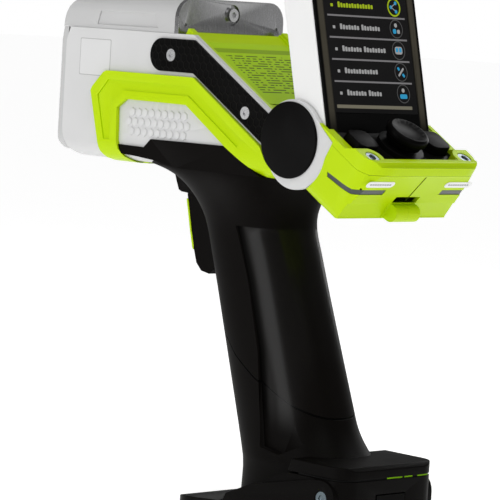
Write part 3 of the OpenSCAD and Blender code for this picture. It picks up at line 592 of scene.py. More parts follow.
@dataclass(frozen=True)
class Printed(Coat):
    """Lime sheet printed with a plain bar and rows of plain dashes, placed down the slope."""

    paper: Colour
    ink: Colour
    slope: float
    row_mm: float = 1.9
    text_rows: tuple[Point, Point] = ((-66.4, -66.2), (-36.6, -36.4))
    text_side: Point = (21.0, 21.6)
    short_side: Point = (14.0, 14.3)
    bar_rows: tuple[Point, Point] = ((-71.6, -71.3), (-68.2, -67.9))
    bar_side: Point = (25.0, 25.2)

    def dress(self, s: Shader) -> None:
        """Wires the finish.

        Args:
            s: The shader that it dresses.
        """
        along, across, _ = s.parts(s.place(HINGE, self.slope, PER_MM))
        rows = along / self.row_mm
        row = rows.whole()
        seed = s.add("ShaderNodeCombineXYZ", {}, {0: across * 0.42, 1: row * 7.3})
        dashes = s.noise(1.0, 0.0, 0.5, seed).step(0.44, 0.47)
        short = (row * 2.1).sine() * 3.0 + 20.0 > 21.0
        lines = 1.0 - abs(rows.fraction() - 0.5).step(0.17, 0.24)
        text = lines * dashes * along.between(*self.text_rows)
        text = text * (1.0 - abs(across).step(*self.text_side))
        text = text * (1.0 - across.step(*self.short_side) * short)
        bar = along.between(*self.bar_rows) * (1.0 - abs(across).step(*self.bar_side))
        cover = text.largest(bar * 0.5)
        cloud = s.noise(60.0)
        paper = s.mix(cloud, tint(self.paper, 0.93), self.paper)
        s.paint(s.mix(cover * 0.9, paper, self.ink), 0.42 + cloud * 0.1, 0.1)
        s.relief(cover, 0.01)


@dataclass(frozen=True)
class Board(Coat):
    """Lacquered circuit board with pale tracks."""

    colour: Colour
    track: Colour = (0.55, 0.45, 0.2)

    def dress(self, s: Shader) -> None:
        """Wires the finish.

        Args:
            s: The shader that it dresses.
        """
        bricks = {"Vector": s.place(), "Scale": 220.0, "Mortar Size": 0.03}
        tracks = s.add("ShaderNodeTexBrick", {}, bricks, "Fac")
        s.paint(s.mix(tracks, self.colour, self.track), 0.3 + tracks * 0.2)
        s.relief(tracks, 0.03)


class Finish(Enum):
    """Every finish on the instrument, by the name of its material slot."""

    shell_grey = Moulded((0.60, 0.60, 0.60), 0.42, specular=0.35)
    cover_grey = Moulded((0.50, 0.50, 0.50), 0.40, specular=0.35)
    plate_metal = Brushed((0.36, 0.36, 0.365), (1.0, 30.0, 1.0), 0.24)
    screw_steel = Brushed((0.62, 0.62, 0.63), (1.0, 1.0, 1.0), 0.26, 900.0)
    seal_black = Moulded((0.003, 0.003, 0.003), 0.7, specular=0.04)
    lime = Moulded((0.46, 0.66, 0.0), 0.38, mottle=0.03, specular=0.12)
    lime_seal = Moulded((0.20, 0.45, 0.0), 0.5, specular=0.1)
    trim_black = Honeycomb((0.0042, 0.0038, 0.0035))
    cap_black = Moulded((0.0032, 0.0030, 0.0030), 0.36, 3200.0, 0.008, specular=0.04)
    steel = Brushed((0.55, 0.55, 0.56), (1.0, 1.0, 1.0), 0.3, 800.0)
    frame_metal = Brushed((0.60, 0.60, 0.61))
    film = Gloss((0.45, 0.20, 0.05), 0.25, 0.3, 0.5)
    ceramic = Moulded((0.72, 0.68, 0.58), 0.5)
    brass = Brushed((0.72, 0.50, 0.20))
    motor_grey = Moulded((0.12, 0.12, 0.13), 0.4)
    potting = Moulded((0.05, 0.055, 0.09), 0.35)
    board_green = Board((0.02, 0.14, 0.05))
    grip_black = SoftGrip((0.0030, 0.0024, 0.0021))
    sleeve_black = SoftGrip((0.0027, 0.0022, 0.0019), 0.46)
    lens = Gloss((0.05, 0.06, 0.055), 0.25, 0.2, 0.3)
    key_black = Moulded((0.0016, 0.0014, 0.0013), 0.34, 3000.0, 0.01, specular=0.03)
    display_white = Moulded((0.78, 0.78, 0.775), 0.38, 2600.0, 0.008, 0.02, 0.35)
    # The second colour is a painted reflection down the sides of the screen.
    bezel_black = Framed((0.0015, 0.0015, 0.0015), (0.060, 0.054, 0.040))
    screen_glass = Gloss((0.0105, 0.0102, 0.0105), 0.14, specular=0.05)
    foot_black = Moulded((0.0026, 0.0022, 0.0020), 0.42, 1800.0, 0.03, specular=0.035)
    cell_blue = Moulded((0.04, 0.08, 0.2), 0.35)


class Extra(Enum):
    """Finishes that only the pieces made here have."""

    rim_steel = Brushed((0.12, 0.15, 0.17), (1.0, 1.0, 1.0), 0.2, 900.0)
    gasket = Gasket((0.22, 0.50, 0.0), (0.002, 0.002, 0.002))
    grip_pad = Moulded((0.62, 0.62, 0.62), 0.5, specular=0.3)
    blank_label = Moulded((0.80, 0.80, 0.79), 0.35, 3000.0, 0.004, 0.02, 0.2)
    flank_label = Moulded((0.64, 0.64, 0.64), 0.35, 3000.0, 0.004, 0.02, 0.2)
    label_edge = Moulded((0.36, 0.36, 0.36), 0.45, specular=0.2)
    seam = Moulded((0.035, 0.06, 0.0), 0.8, specular=0.05)
    mark_white = Glow((0.27, 0.27, 0.27))
    mark_lime = Glow((0.27, 0.36, 0.0))
    mark_blue = Glow((0.013, 0.24, 0.44))
    mark_grey = Glow((0.05, 0.05, 0.05))
    rule_grey = Glow((0.15, 0.145, 0.15))
    bar_beige = Glow((0.13, 0.12, 0.085))
    ink_grey = Moulded((0.20, 0.20, 0.19), 0.5, specular=0.1)


class Paintbox:
    """Makes each finish once."""

    def __init__(self) -> None:
        """Starts empty."""
        self.made: dict[str, Material] = {}

    def get(self, finish: Enum) -> Material:
        """Returns the material of one finish."""
        return self.add(finish.name, finish.value)

    def add(self, name: str, coat: Coat) -> Material:
        """Returns the material of a finish, and makes it the first time.

        Args:
            name: The material's name.
            coat: The finish.

        Returns:
            The material.
        """
        if name not in self.made:
            self.made[name] = coat.make(name)
        return self.made[name]


PAINT = Paintbox()
SLOT_OF = {part["node"]: part["material_slot"] for part in frame["record"]["subparts"]}
BODIES = frame["record"]["behaviour"]["bodies"]
BODY_OF = {node: body for body, nodes in BODIES.items() for node in nodes}


# ---------------------------------------------------------------- mesh helpers


def link(name: str, data: bpy.types.ID) -> Piece:
    """Makes an object and puts it in the scene.

    Args:
        name: Its name.
        data: Its mesh, light or camera.

    Returns:
        The object.
    """
    made = bpy.data.objects.new(name, data)
    bpy.context.scene.collection.objects.link(made)
    return made


def as_mesh(bm: Shape, name: str) -> bpy.types.Mesh:
    """Turns a bmesh into a mesh.

    Args:
        bm: The shape. It is freed.
        name: The mesh's name.

    Returns:
        The mesh.
    """
    mesh = bpy.data.meshes.new(name)
    bm.to_mesh(mesh)
    bm.free()
    return mesh


def round_off(
    bm: Shape, geom: Sequence[Element], width_mm: float, steps: int, affect: str = "EDGES"
) -> None:
    """Rounds edges or corner points of a shape."""
    bmesh.ops.bevel(
        bm, geom=geom, offset=width_mm * MM, offset_type="OFFSET", segments=steps,
        profile=0.5, affect=affect, material=-1,
    )


def made_of(kind: type, made: dict) -> list[Element]:
    """The points, edges or faces among what an operator made."""
    return [element for element in made["geom"] if isinstance(element, kind)]


def finish_mesh(bm: Shape, name: str, body: str, material: Material, sharp: float) -> Piece:
    """Turns a bmesh into a piece that rides on a body.

    Args:
        bm: The shape, in the row frame. It is freed.
        name: The piece's name.
        body: The body it moves with.
        material: Its material.
        sharp: Edges steeper than this many degrees stay sharp.

    Returns:
        The piece.
    """
    for face in bm.faces:
        face.smooth = True
    mesh = as_mesh(bm, name)
    mesh.set_sharp_from_angle(angle=math.radians(sharp))
    mesh.materials.append(material)
    piece = link(name, mesh)
    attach(piece, body)
    return piece


def merged_copy(node: str, gap: float = 2e-6) -> Shape:
    """A node's mesh as one welded bmesh with flat faces joined.

    Args:
        node: The CAD node.
        gap: Points nearer than this are one, in metres.

    Returns:
        A new bmesh in the row frame.
    """
    bm = bmesh.new()
    bm.from_mesh(frame["nodes"][node].data)
    bmesh.ops.remove_doubles(bm, verts=bm.verts, dist=gap)
    bmesh.ops.dissolve_degenerate(bm, edges=bm.edges, dist=gap)
    bmesh.ops.dissolve_limit(bm, angle_limit=FLAT_FACES, verts=bm.verts, edges=bm.edges)
    return bm


def stand_in(
    bm: Shape,
    node: str,
    sharp: float,
    finish: Material | None = None,
    name: str | None = None,
) -> Piece:
    """Turns a worked copy of a node's mesh into the piece that is shown for it.

    Args:
        bm: The shape. It is freed.
        node: The CAD node.
        sharp: Edges steeper than this many degrees stay sharp.
        finish: Material, or None for the node's own slot.
        name: The piece's name, or None for one made from the node's.

    Returns:
        The piece.
    """
    slot = SLOT_OF[node]
    material = finish or PAINT.get(Finish[slot])
    piece = finish_mesh(bm, name or f"{node}_body", BODY_OF[node], material, sharp)
    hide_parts(node)
    return piece


@dataclass(frozen=True)
class Rounding:
    """How a node's edges are rounded: the width, the segments and the least angle in degrees.

    The finish is only given where it isn't that of the node's own slot.
    """

    node: str
    width_mm: float
    steps: int = 3
    angle: float = 34.0
    finish: Extra | None = None


def soften(rounding: Rounding) -> None:
    """Shows a copy of a node with rounded edges in the node's place.

    Args:
        rounding: The node and its rounding.
    """
    finish = rounding.finish and PAINT.get(rounding.finish)
    node, angle = rounding.node, rounding.angle
    piece = stand_in(merged_copy(node), node, angle + STILL_SMOOTH, finish)
    bevel = piece.modifiers.new("edge", "BEVEL")
    bevel.width = rounding.width_mm * MM
    bevel.segments = rounding.steps
    bevel.limit_method = "ANGLE"
    bevel.angle_limit = math.radians(angle)
    bevel.miter_outer = "MITER_ARC"


class Mould:
    """Gathers simple shapes, each made at the origin and put in its place."""

    def __init__(self) -> None:
        """Starts with an empty mesh."""
        self.bm = bmesh.new()

    def take(self, part: Shape, place: Matrix) -> None:
        """Adds a finished shape.

        Args:
            part: The shape at the origin. It is freed.
            place: Where it goes.
        """
        bmesh.ops.recalc_face_normals(part, faces=part.faces)
        bmesh.ops.transform(part, matrix=place, verts=part.verts)
        mesh = as_mesh(part, "part")
        self.bm.from_mesh(mesh)
        bpy.data.meshes.remove(mesh)

    def plate(
        self,
        width: float,
        height: float,
        radius: float,
        thick: float,
        place: Matrix,
        steps: int = 5,
    ) -> None:
        """Adds a thin plate with round corners on a place's xy plane.

        Args:
            width: Size along x, in millimetres.
            height: Size along y, in millimetres.
            radius: Corner radius, in millimetres.
            thick: Thickness, in millimetres.
            place: Where the lower face has its centre.
            steps: Segments in each corner.
        """
        part = bmesh.new()
        bmesh.ops.create_grid(part, x_segments=1, y_segments=1, size=0.5)
        bmesh.ops.scale(part, vec=(width * MM, height * MM, 1.0), verts=part.verts)
        if radius:
            round_off(part, part.verts[:], radius, steps, "VERTICES")
        self._raise(part, thick)
        self.take(part, place)

    def disc(
        self, radius: float, thick: float, place: Matrix, steps: int, hole: float = 0.0
    ) -> None:
        """Adds a thin round plate or a ring on a place's xy plane.

        Args:
            radius: Outer radius, in millimetres.
            thick: Thickness, in millimetres.
            place: Where the lower face has its centre.
            steps: Segments round the rim.
            hole: Radius of the hole, in millimetres, or 0.
        """
        part = bmesh.new()
        bmesh.ops.create_circle(part, cap_ends=True, segments=steps, radius=radius * MM)
        if hole:
            middle, rim = part.faces[:], (radius - hole) * MM
            bmesh.ops.inset_region(part, faces=middle, thickness=rim, use_boundary=True)
            bmesh.ops.delete(part, geom=middle, context="FACES")
        self._raise(part, thick)
        self.take(part, place)

    @staticmethod
    def _raise(part: Shape, thick: float) -> None:
        """Gives a flat shape its thickness upwards, in millimetres."""
        raised = bmesh.ops.extrude_face_region(part, geom=part.faces[:], use_keep_orig=True)
        bmesh.ops.translate(part, vec=(0, 0, thick * MM), verts=made_of(bmesh.types.BMVert, raised))

    def stud(self, radius: float, height: float, round_mm: float, place: Matrix) -> None:
        """Adds a low six-sided pad with a rounded rim.

        Args:
            radius: Radius at the foot, in millimetres.
            height: Height over the place, in millimetres.
            round_mm: Rounding of its rim, in millimetres.
            place: Where its foot has its centre.
        """
        part = bmesh.new()
        foot, top, high = radius * MM, radius * 0.94 * MM, height * MM
        bmesh.ops.create_cone(
            part, cap_ends=True, segments=6, radius1=foot, radius2=top, depth=high
        )
        bmesh.ops.translate(part, vec=(0, 0, high / 2), verts=part.verts)
        rim = [e for e in part.edges if all(v.co.z > high * 0.9 for v in e.verts)]
        round_off(part, rim, round_mm, 3)
        self.take(part, place)

    def both_sides(self) -> None:
        """Repeats everything on the other side of the instrument."""
        made = bmesh.ops.duplicate(self.bm, geom=[*self.bm.verts, *self.bm.edges, *self.bm.faces])
        mirror = Matrix.Diagonal((1, -1, 1, 1))
        bmesh.ops.transform(self.bm, matrix=mirror, verts=made_of(bmesh.types.BMVert, made))
        bmesh.ops.reverse_faces(self.bm, faces=made_of(bmesh.types.BMFace, made))

    def finish(self, name: str, body: str, material: Material, sharp: float = 40.0) -> None:
        """Turns the gathered shapes into a piece on a body."""
        finish_mesh(self.bm, name, body, material, sharp)


# ---------------------------------------------------------------- sub-assemblies


@dataclass
class Layout:
    """Places in the row frame that several sub-assemblies share."""

    hinge: Vector = field(default_factory=lambda: Vector(HINGE))
    slope: float = 31.5
    lean: float = 13.5
    half: float = 34.0

    def head(self, x: float, y: float, z: float) -> Vector:
        """A point given in millimetres from the display's hinge."""
        return self.hinge + Vector((x, y, z)) * MM

    def deck(self, s: float, y: float, o: float) -> Matrix:
        """A place on the slope: x down the slope, z out of it.

        Args:
            s: Distance down the slope from the hinge, in millimetres.
            y: Distance across, in millimetres.
            o: Distance out of the slope, in millimetres.

        Returns:
            A matrix in the row frame.
        """
        turn = Matrix.Rotation(math.radians(self.slope), 4, "Y")
        return Matrix.Translation(self.hinge) @ turn @ Matrix.Translation(Vector((s, y, o)) * MM)

    def screen(self, across: float, along: float, out: float) -> Matrix:
        """A place on the raised display: x across to the right, y up the screen, z out of it.

        Args:
            across: Distance from the middle towards +y, in millimetres.
            along: Distance up the display from the hinge, in millimetres.
            out: Distance out from the hinge axis, in millimetres.

        Returns:
            A matrix in the row frame.
        """
        turn = Matrix.Rotation(math.radians(-self.lean), 4, "Y")
        spot = Matrix.Translation(Vector((out, across, along)) * MM)
        basis = Matrix(((0, 0, 1, 0), (1, 0, 0, 0), (0, 1, 0, 0), (0, 0, 0, 1)))
        return Matrix.Translation(self.hinge) @ turn @ spot @ basis

    def flank(self, x: float, z: float, y: float) -> Matrix:
        """A place on the left flank of the head, facing outwards.

        Args:
            x: Distance behind the hinge, in millimetres.
            z: Height above the hinge, in millimetres.
            y: Distance to the side, in millimetres, negative on the left.

        Returns:
            A matrix in the row frame.
        """
        return Matrix.Translation(self.head(x, y, z)) @ Matrix.Rotation(math.radians(90), 4, "X")

    @staticmethod
    def facing(spot: Vector, x: Vector, y: Vector, z: Vector) -> Matrix:
        """A place at a spot with its three directions given."""
        return Matrix.Translation(spot) @ Matrix((x, y, z)).transposed().to_4x4()


PLACE = Layout()


@dataclass
class Head:
    """Shells, cover, bumper, strap and bay. Sizes and places are in millimetres."""

    edges: tuple[Rounding, ...] = (
        *(
            Rounding(f"{node}_{side}", width, angle=angle)
            for side in ("left", "right")
            for node, width, angle in (
                ("side_shell", 0.5, 34.0),
                ("bumper", 0.45, 34.0),
                ("strap_trim", 0.3, 34.0),
                ("pivot_cap", 0.2, 50.0),
            )
        ),
        Rounding("nose_cover", 0.6),
        Rounding("bulkhead_plate", 0.3),
        Rounding("nose_plate", 0.6),
        Rounding("bay_tray", 0.3),
        Rounding("chassis", 0.4),
    )
    pads: tuple[int, int, int] = (9, 10, 9)
    pad_pitch: float = 4.3
    pad_rows: float = 4.4
    pads_from: Point = (-104.0, 5.6)
    pads_sunk: float = 0.3
    pad: Spot = (2.15, 0.85, 0.45)
    sheet: Sheet = (48.0, 54.0, 1.5, 0.12)
    sheet_at: Spot = (-52.0, 0.0, -0.5)
    label: Sheet = (20.4, 16.4, 0.6, 0.07)
    label_edge: Sheet = (21.0, 17.0, 0.6, 0.04)
    label_at: Point = (-129.5, 29.0)

    def build(self) -> None:
        """Makes every piece of the head."""
        for rounding in self.edges:
            soften(rounding)
        self.grip_pads()
        self.bay_label()
        self.flank_label("label_edges", self.label_edge, Extra.label_edge)
        self.flank_label("side_labels", self.label, Extra.flank_label)

    def grip_pads(self) -> None:
        """Raised six-sided pads in three rows on each flank."""
        mould = Mould()
        front, top = self.pads_from
        for row, count in enumerate(self.pads):
            start = front + (0 if row == 1 else self.pad_pitch / 2)
            for i in range(count):
                x, z = start + self.pad_pitch * i, top - self.pad_rows * row
                mould.stud(*self.pad, PLACE.flank(x, z, self.pads_sunk - PLACE.half))
        mould.both_sides()
        mould.finish("grip_pads", "frame", PAINT.get(Extra.grip_pad), 50)

    def bay_label(self) -> None:
        """Printed sheet on the sloping floor of the bay."""
        mould = Mould()
        mould.plate(*self.sheet, PLACE.deck(*self.sheet_at))
        paper = Printed((0.42, 0.66, 0.0), (0.05, 0.10, 0.0), PLACE.slope)
        mould.finish("bay_label", "frame", PAINT.add("bay_print", paper))

    def flank_label(self, name: str, sizes: Sheet, finish: Extra) -> None:
        """One layer of the blank label on each flank.

        Args:
            name: The piece's name.
            sizes: Width, height, corner radius and thickness.
            finish: Its finish.
        """
        mould = Mould()
        mould.plate(*sizes, PLACE.flank(*self.label_at, -PLACE.half))
        mould.both_sides()
        mould.finish(name, "frame", PAINT.get(finish))


@dataclass(frozen=True)
class Mark:
    """One dot of a motif, or one bar where it has a height, with the mould that receives it.

    Sizes are in millimetres, the turn is in degrees, and the corner is a share of the lesser side.
    """

    mould: str
    across: float
    up: float
    wide: float
    high: float = 0.0
    turn: float = 0.0
    lift: float = 0.0
    corner: float = 0.3


@dataclass
class Display:
    """Flip-up display and what it shows. Sizes are in millimetres, up the screen from the hinge."""

    edges: tuple[Rounding, ...] = (
        Rounding("display_housing", 0.7, 4),
        Rounding("display_bezel", 0.25),
    )
    face: float = 21.0
    sunk: float = 0.12
    film: float = 0.04
    bar_film: float = 0.05
    row_pitch: float = 9.67
    first_row: float = 17.2
    rule: Point = (49.4, 0.75)
    rule_at: Point = (-0.3, 5.2)
    foot_bar: Spot = (48.0, 1.5, 0.3)
    foot_bar_at: Point = (-1.1, 11.4)
    chosen: int = 4
    ring_at: Point = (18.2, 0.5)
    ring: float = 4.2
    ring_hole: float = 3.8
    ring_sides: int = 40
    chosen_hole: float = 3.45
    dot_sides: int = 16
    point: Spot = (1.5, 1.3, 0.2)
    point_at: float = -21.6
    words_at: float = -18.0
    word_gap: float = 1.2
    letter: float = 1.75
    letter_gap: float = 0.42
    letter_corner: float = 0.3
    ripple: float = 0.25
    capital: float = 2.5
    words: tuple[tuple[float, ...], ...] = (
        (12.4, 8.6), (21.2,), (12.4, 14.2), (12.4, 12.0), (22.6,), (9.5, 12.5), (15.0,),
        (11.0, 7.5),
    )
    motifs: tuple[tuple[Mark, ...], ...] = (
        (Mark("white", 0, 1.5, 0.95), Mark("blue", 0, -1.2, 4.6, 2.0)),
        (
            Mark("white", 0, 0, 5.0, 0.95, 45),
            Mark("blue", -1.45, 1.45, 1.6, 1.2, -45),
            Mark("blue", 1.45, -1.45, 1.8, 1.2, -45),
        ),
        (
            Mark("white", 0, 0, 4.8, 3.4),
            Mark("blue", -1.1, 0.2, 1.5, 1.9, lift=0.03, corner=0.2 / 1.5),
            Mark("blue", 1.1, 0.2, 1.5, 1.9, lift=0.03, corner=0.2 / 1.5),
        ),
        (
            Mark("white", -0.2, 1.6, 0.95),
            Mark("blue", -1.2, -1.1, 2.1, 2.1),
            Mark("white", 1.3, -1.2, 1.8, 1.8),
        ),
        (
            Mark("white", -0.3, 0.9, 3.4, 0.35, 32),
            Mark("white", -0.3, -0.9, 3.4, 0.35, -32),
            Mark("blue", -1.9, 0, 0.85),
            Mark("blue", 1.2, 1.9, 0.85),
            Mark("blue", 1.2, -1.9, 0.85),
        ),
    )

    def build(self) -> None:
        """Makes the display's pieces."""
        for rounding in self.edges:
            soften(rounding)
        self.menu()

    def on_screen(self, across: float, along: float, lift: float = 0.0) -> Matrix:
        """A place on the glass, lifted so that layers don't meet."""
        return PLACE.screen(across, along, self.face - self.sunk + lift)

    def menu(self) -> None:
        """Rows of a plain menu: dashes for each entry and a round mark beside it."""
        paints = {
            "rules": Extra.rule_grey, "foot": Extra.bar_beige, "words": Extra.mark_white,
            "chosen": Extra.mark_lime, "rings": Extra.mark_grey, "white": Extra.mark_white,
            "blue": Extra.mark_blue,
        }
        moulds = {name: Mould() for name in paints}
        for i, words in enumerate(self.words):
            z = self.first_row + self.row_pitch * i
            if i + 1 < len(self.words):
                across, up = self.rule_at
                place = self.on_screen(across, z + up)
                moulds["rules"].plate(*self.rule, 0, self.bar_film, place)
            lit = i == self.chosen
            self.entry(moulds["chosen" if lit else "words"], words, z)
            across, up = self.ring_at
            ring = moulds["chosen" if lit else "rings"]
            hole = self.chosen_hole if lit else self.ring_hole
            place = self.on_screen(across, z + up)
            ring.disc(self.ring, self.film, place, self.ring_sides, hole)
            self.motif(self.motifs[i % len(self.motifs)], moulds, z + up)
        place = self.on_screen(*self.foot_bar_at)
        moulds["foot"].plate(*self.foot_bar, self.bar_film, place)
        for name, mould in moulds.items():
            mould.finish(f"menu_{name}", "display", PAINT.get(paints[name]))

    def entry(self, mould: Mould, words: Sequence[float], z: float) -> None:
        """One entry: a square point, then each word as a row of short upright dashes.

        Args:
            mould: Receives the dashes.
            words: Length of each word, in millimetres.
            z: Height of the row on the display, in millimetres.
        """
        mould.plate(*self.point, self.film, self.on_screen(self.point_at, z))
        x = self.words_at
        for word in words:
            count = max(3, round(word / self.letter))
            pitch = word / count
            for k in range(count):
                tall = self.capital if k == 0 else self.letter + self.ripple * (k % 2)
                place = self.on_screen(x + pitch * (k + 0.5), z + (tall - self.letter) / 2)
                wide = pitch - self.letter_gap
                mould.plate(wide, tall, self.letter_corner, self.film, place, 2)
            x += word + self.word_gap

    def motif(self, marks: Sequence[Mark], moulds: dict[str, Mould], z: float) -> None:
        """Plain motif inside a row's ring.

        Args:
            marks: Its dots and bars.
            moulds: The moulds that receive them, by name.
            z: Height of the ring's middle on the display, in millimetres.
        """
        for mark in marks:
            place = self.on_screen(self.ring_at[0] + mark.across, z + mark.up, mark.lift)
            mould = moulds[mark.mould]
            if mark.high:
                place = place @ Matrix.Rotation(math.radians(mark.turn), 4, "Z")
                radius = min(mark.wide, mark.high) * mark.corner
                mould.plate(mark.wide, mark.high, radius, self.film, place, 2)
            else:
                mould.disc(mark.wide, self.film, place, self.dot_sides)


@dataclass
class Keypad:
    """Chin, keys and the blank plates behind them. Sizes and places are in millimetres."""

    edges: tuple[Rounding, ...] = (
        Rounding("chin_left", 0.6, 3, 30.0),
        Rounding("chin_right", 0.6, 3, 30.0),
        Rounding("chin_rim", 1.4, 5, 30.0),
        Rounding("keypad_deck", 0.25),
        Rounding("nav_pad", 0.3),
        Rounding("left_button", 0.7, 4),
        Rounding("right_button", 0.7, 4),
        Rounding("light_bars", 0.15),
        Rounding("rim_screws", 0.12, 2, finish=Extra.rim_steel),
    )
    strip: Sheet = (2.4, 6.9, 0.0, 0.34)
    strip_at: Spot = (43.64, -32.53, -14.6)
    strip_sunk: float = 0.3
    strip_turn: float = 50.625
    rear_low: Point = (37.6, -23.2)
    rear_high: Point = (48.9, -12.2)
    plate: Sheet = (17.0, 3.7, 1.8, 0.2)
    plate_at: Point = (24.9, 11.0)
    dashes: int = 9
    dash: Sheet = (1.1, 0.7, 0.2, 0.04)
    dash_pitch: float = 1.5
    seam: Sheet = (0.4, 16.6, 0.0, 0.12)
    seam_up: float = 8.4

    def build(self) -> None:
        """Makes the keypad's pieces."""
        for rounding in self.edges:
            soften(rounding)
        self.corners()
        self.plates()

    def corners(self) -> None:
        """Thin strips that close the slit in each rear corner of the chin."""
        strips = Mould()
        slope, turn = math.radians(PLACE.slope), math.radians(self.strip_turn)
        up = Vector((math.sin(slope), 0, math.cos(slope)))
        level = Vector((math.cos(slope), 0, -math.sin(slope)))
        away = level * math.cos(turn) - Vector((0, math.sin(turn), 0))
        spot = PLACE.head(*self.strip_at) - away * self.strip_sunk * MM
        strips.plate(*self.strip, PLACE.facing(spot, up.cross(away), up, away))
        strips.both_sides()
        strips.finish("chin_corners", "frame", PAINT.get(Finish.lime))

    def rear_face(self, y: float, up: float, out: float = 0.0) -> Matrix:
        """A place on the chin's rear face: x across, y up the face, z outwards.

        Args:
            y: Distance across, in millimetres.
            up: Distance up from the foot of the face, in millimetres.
            out: Distance out of the face, in millimetres.

        Returns:
            A matrix in the row frame.
        """
        (x0, z0), (x1, z1) = self.rear_low, self.rear_high
        low, across = PLACE.head(x0, 0, z0), Vector((0, 1, 0))
        along = (PLACE.head(x1, 0, z1) - low).normalized()
        away = Vector((along.z, 0, -along.x))
        return PLACE.facing(low + (along * up + away * out + across * y) * MM, across, along, away)

    def plates(self) -> None:
        """Two blank white plates with a row of grey dashes, and the seam between them."""
        plates, dashes, seam = Mould(), Mould(), Mould()
        side, up = self.plate_at
        for y in (-side, side):
            plates.plate(*self.plate, self.rear_face(y, up))
            for k in range(self.dashes):
                across = y + self.dash_pitch * (k - self.dashes // 2)
                dashes.plate(*self.dash, self.rear_face(across, up, self.plate[-1]), 2)
        seam.plate(*self.seam, self.rear_face(0, self.seam_up))
        plates.finish("chin_plates", "frame", PAINT.get(Extra.blank_label))
        dashes.finish("chin_dashes", "frame", PAINT.get(Extra.ink_grey))
        seam.finish("chin_seam", "frame", PAINT.get(Extra.seam))


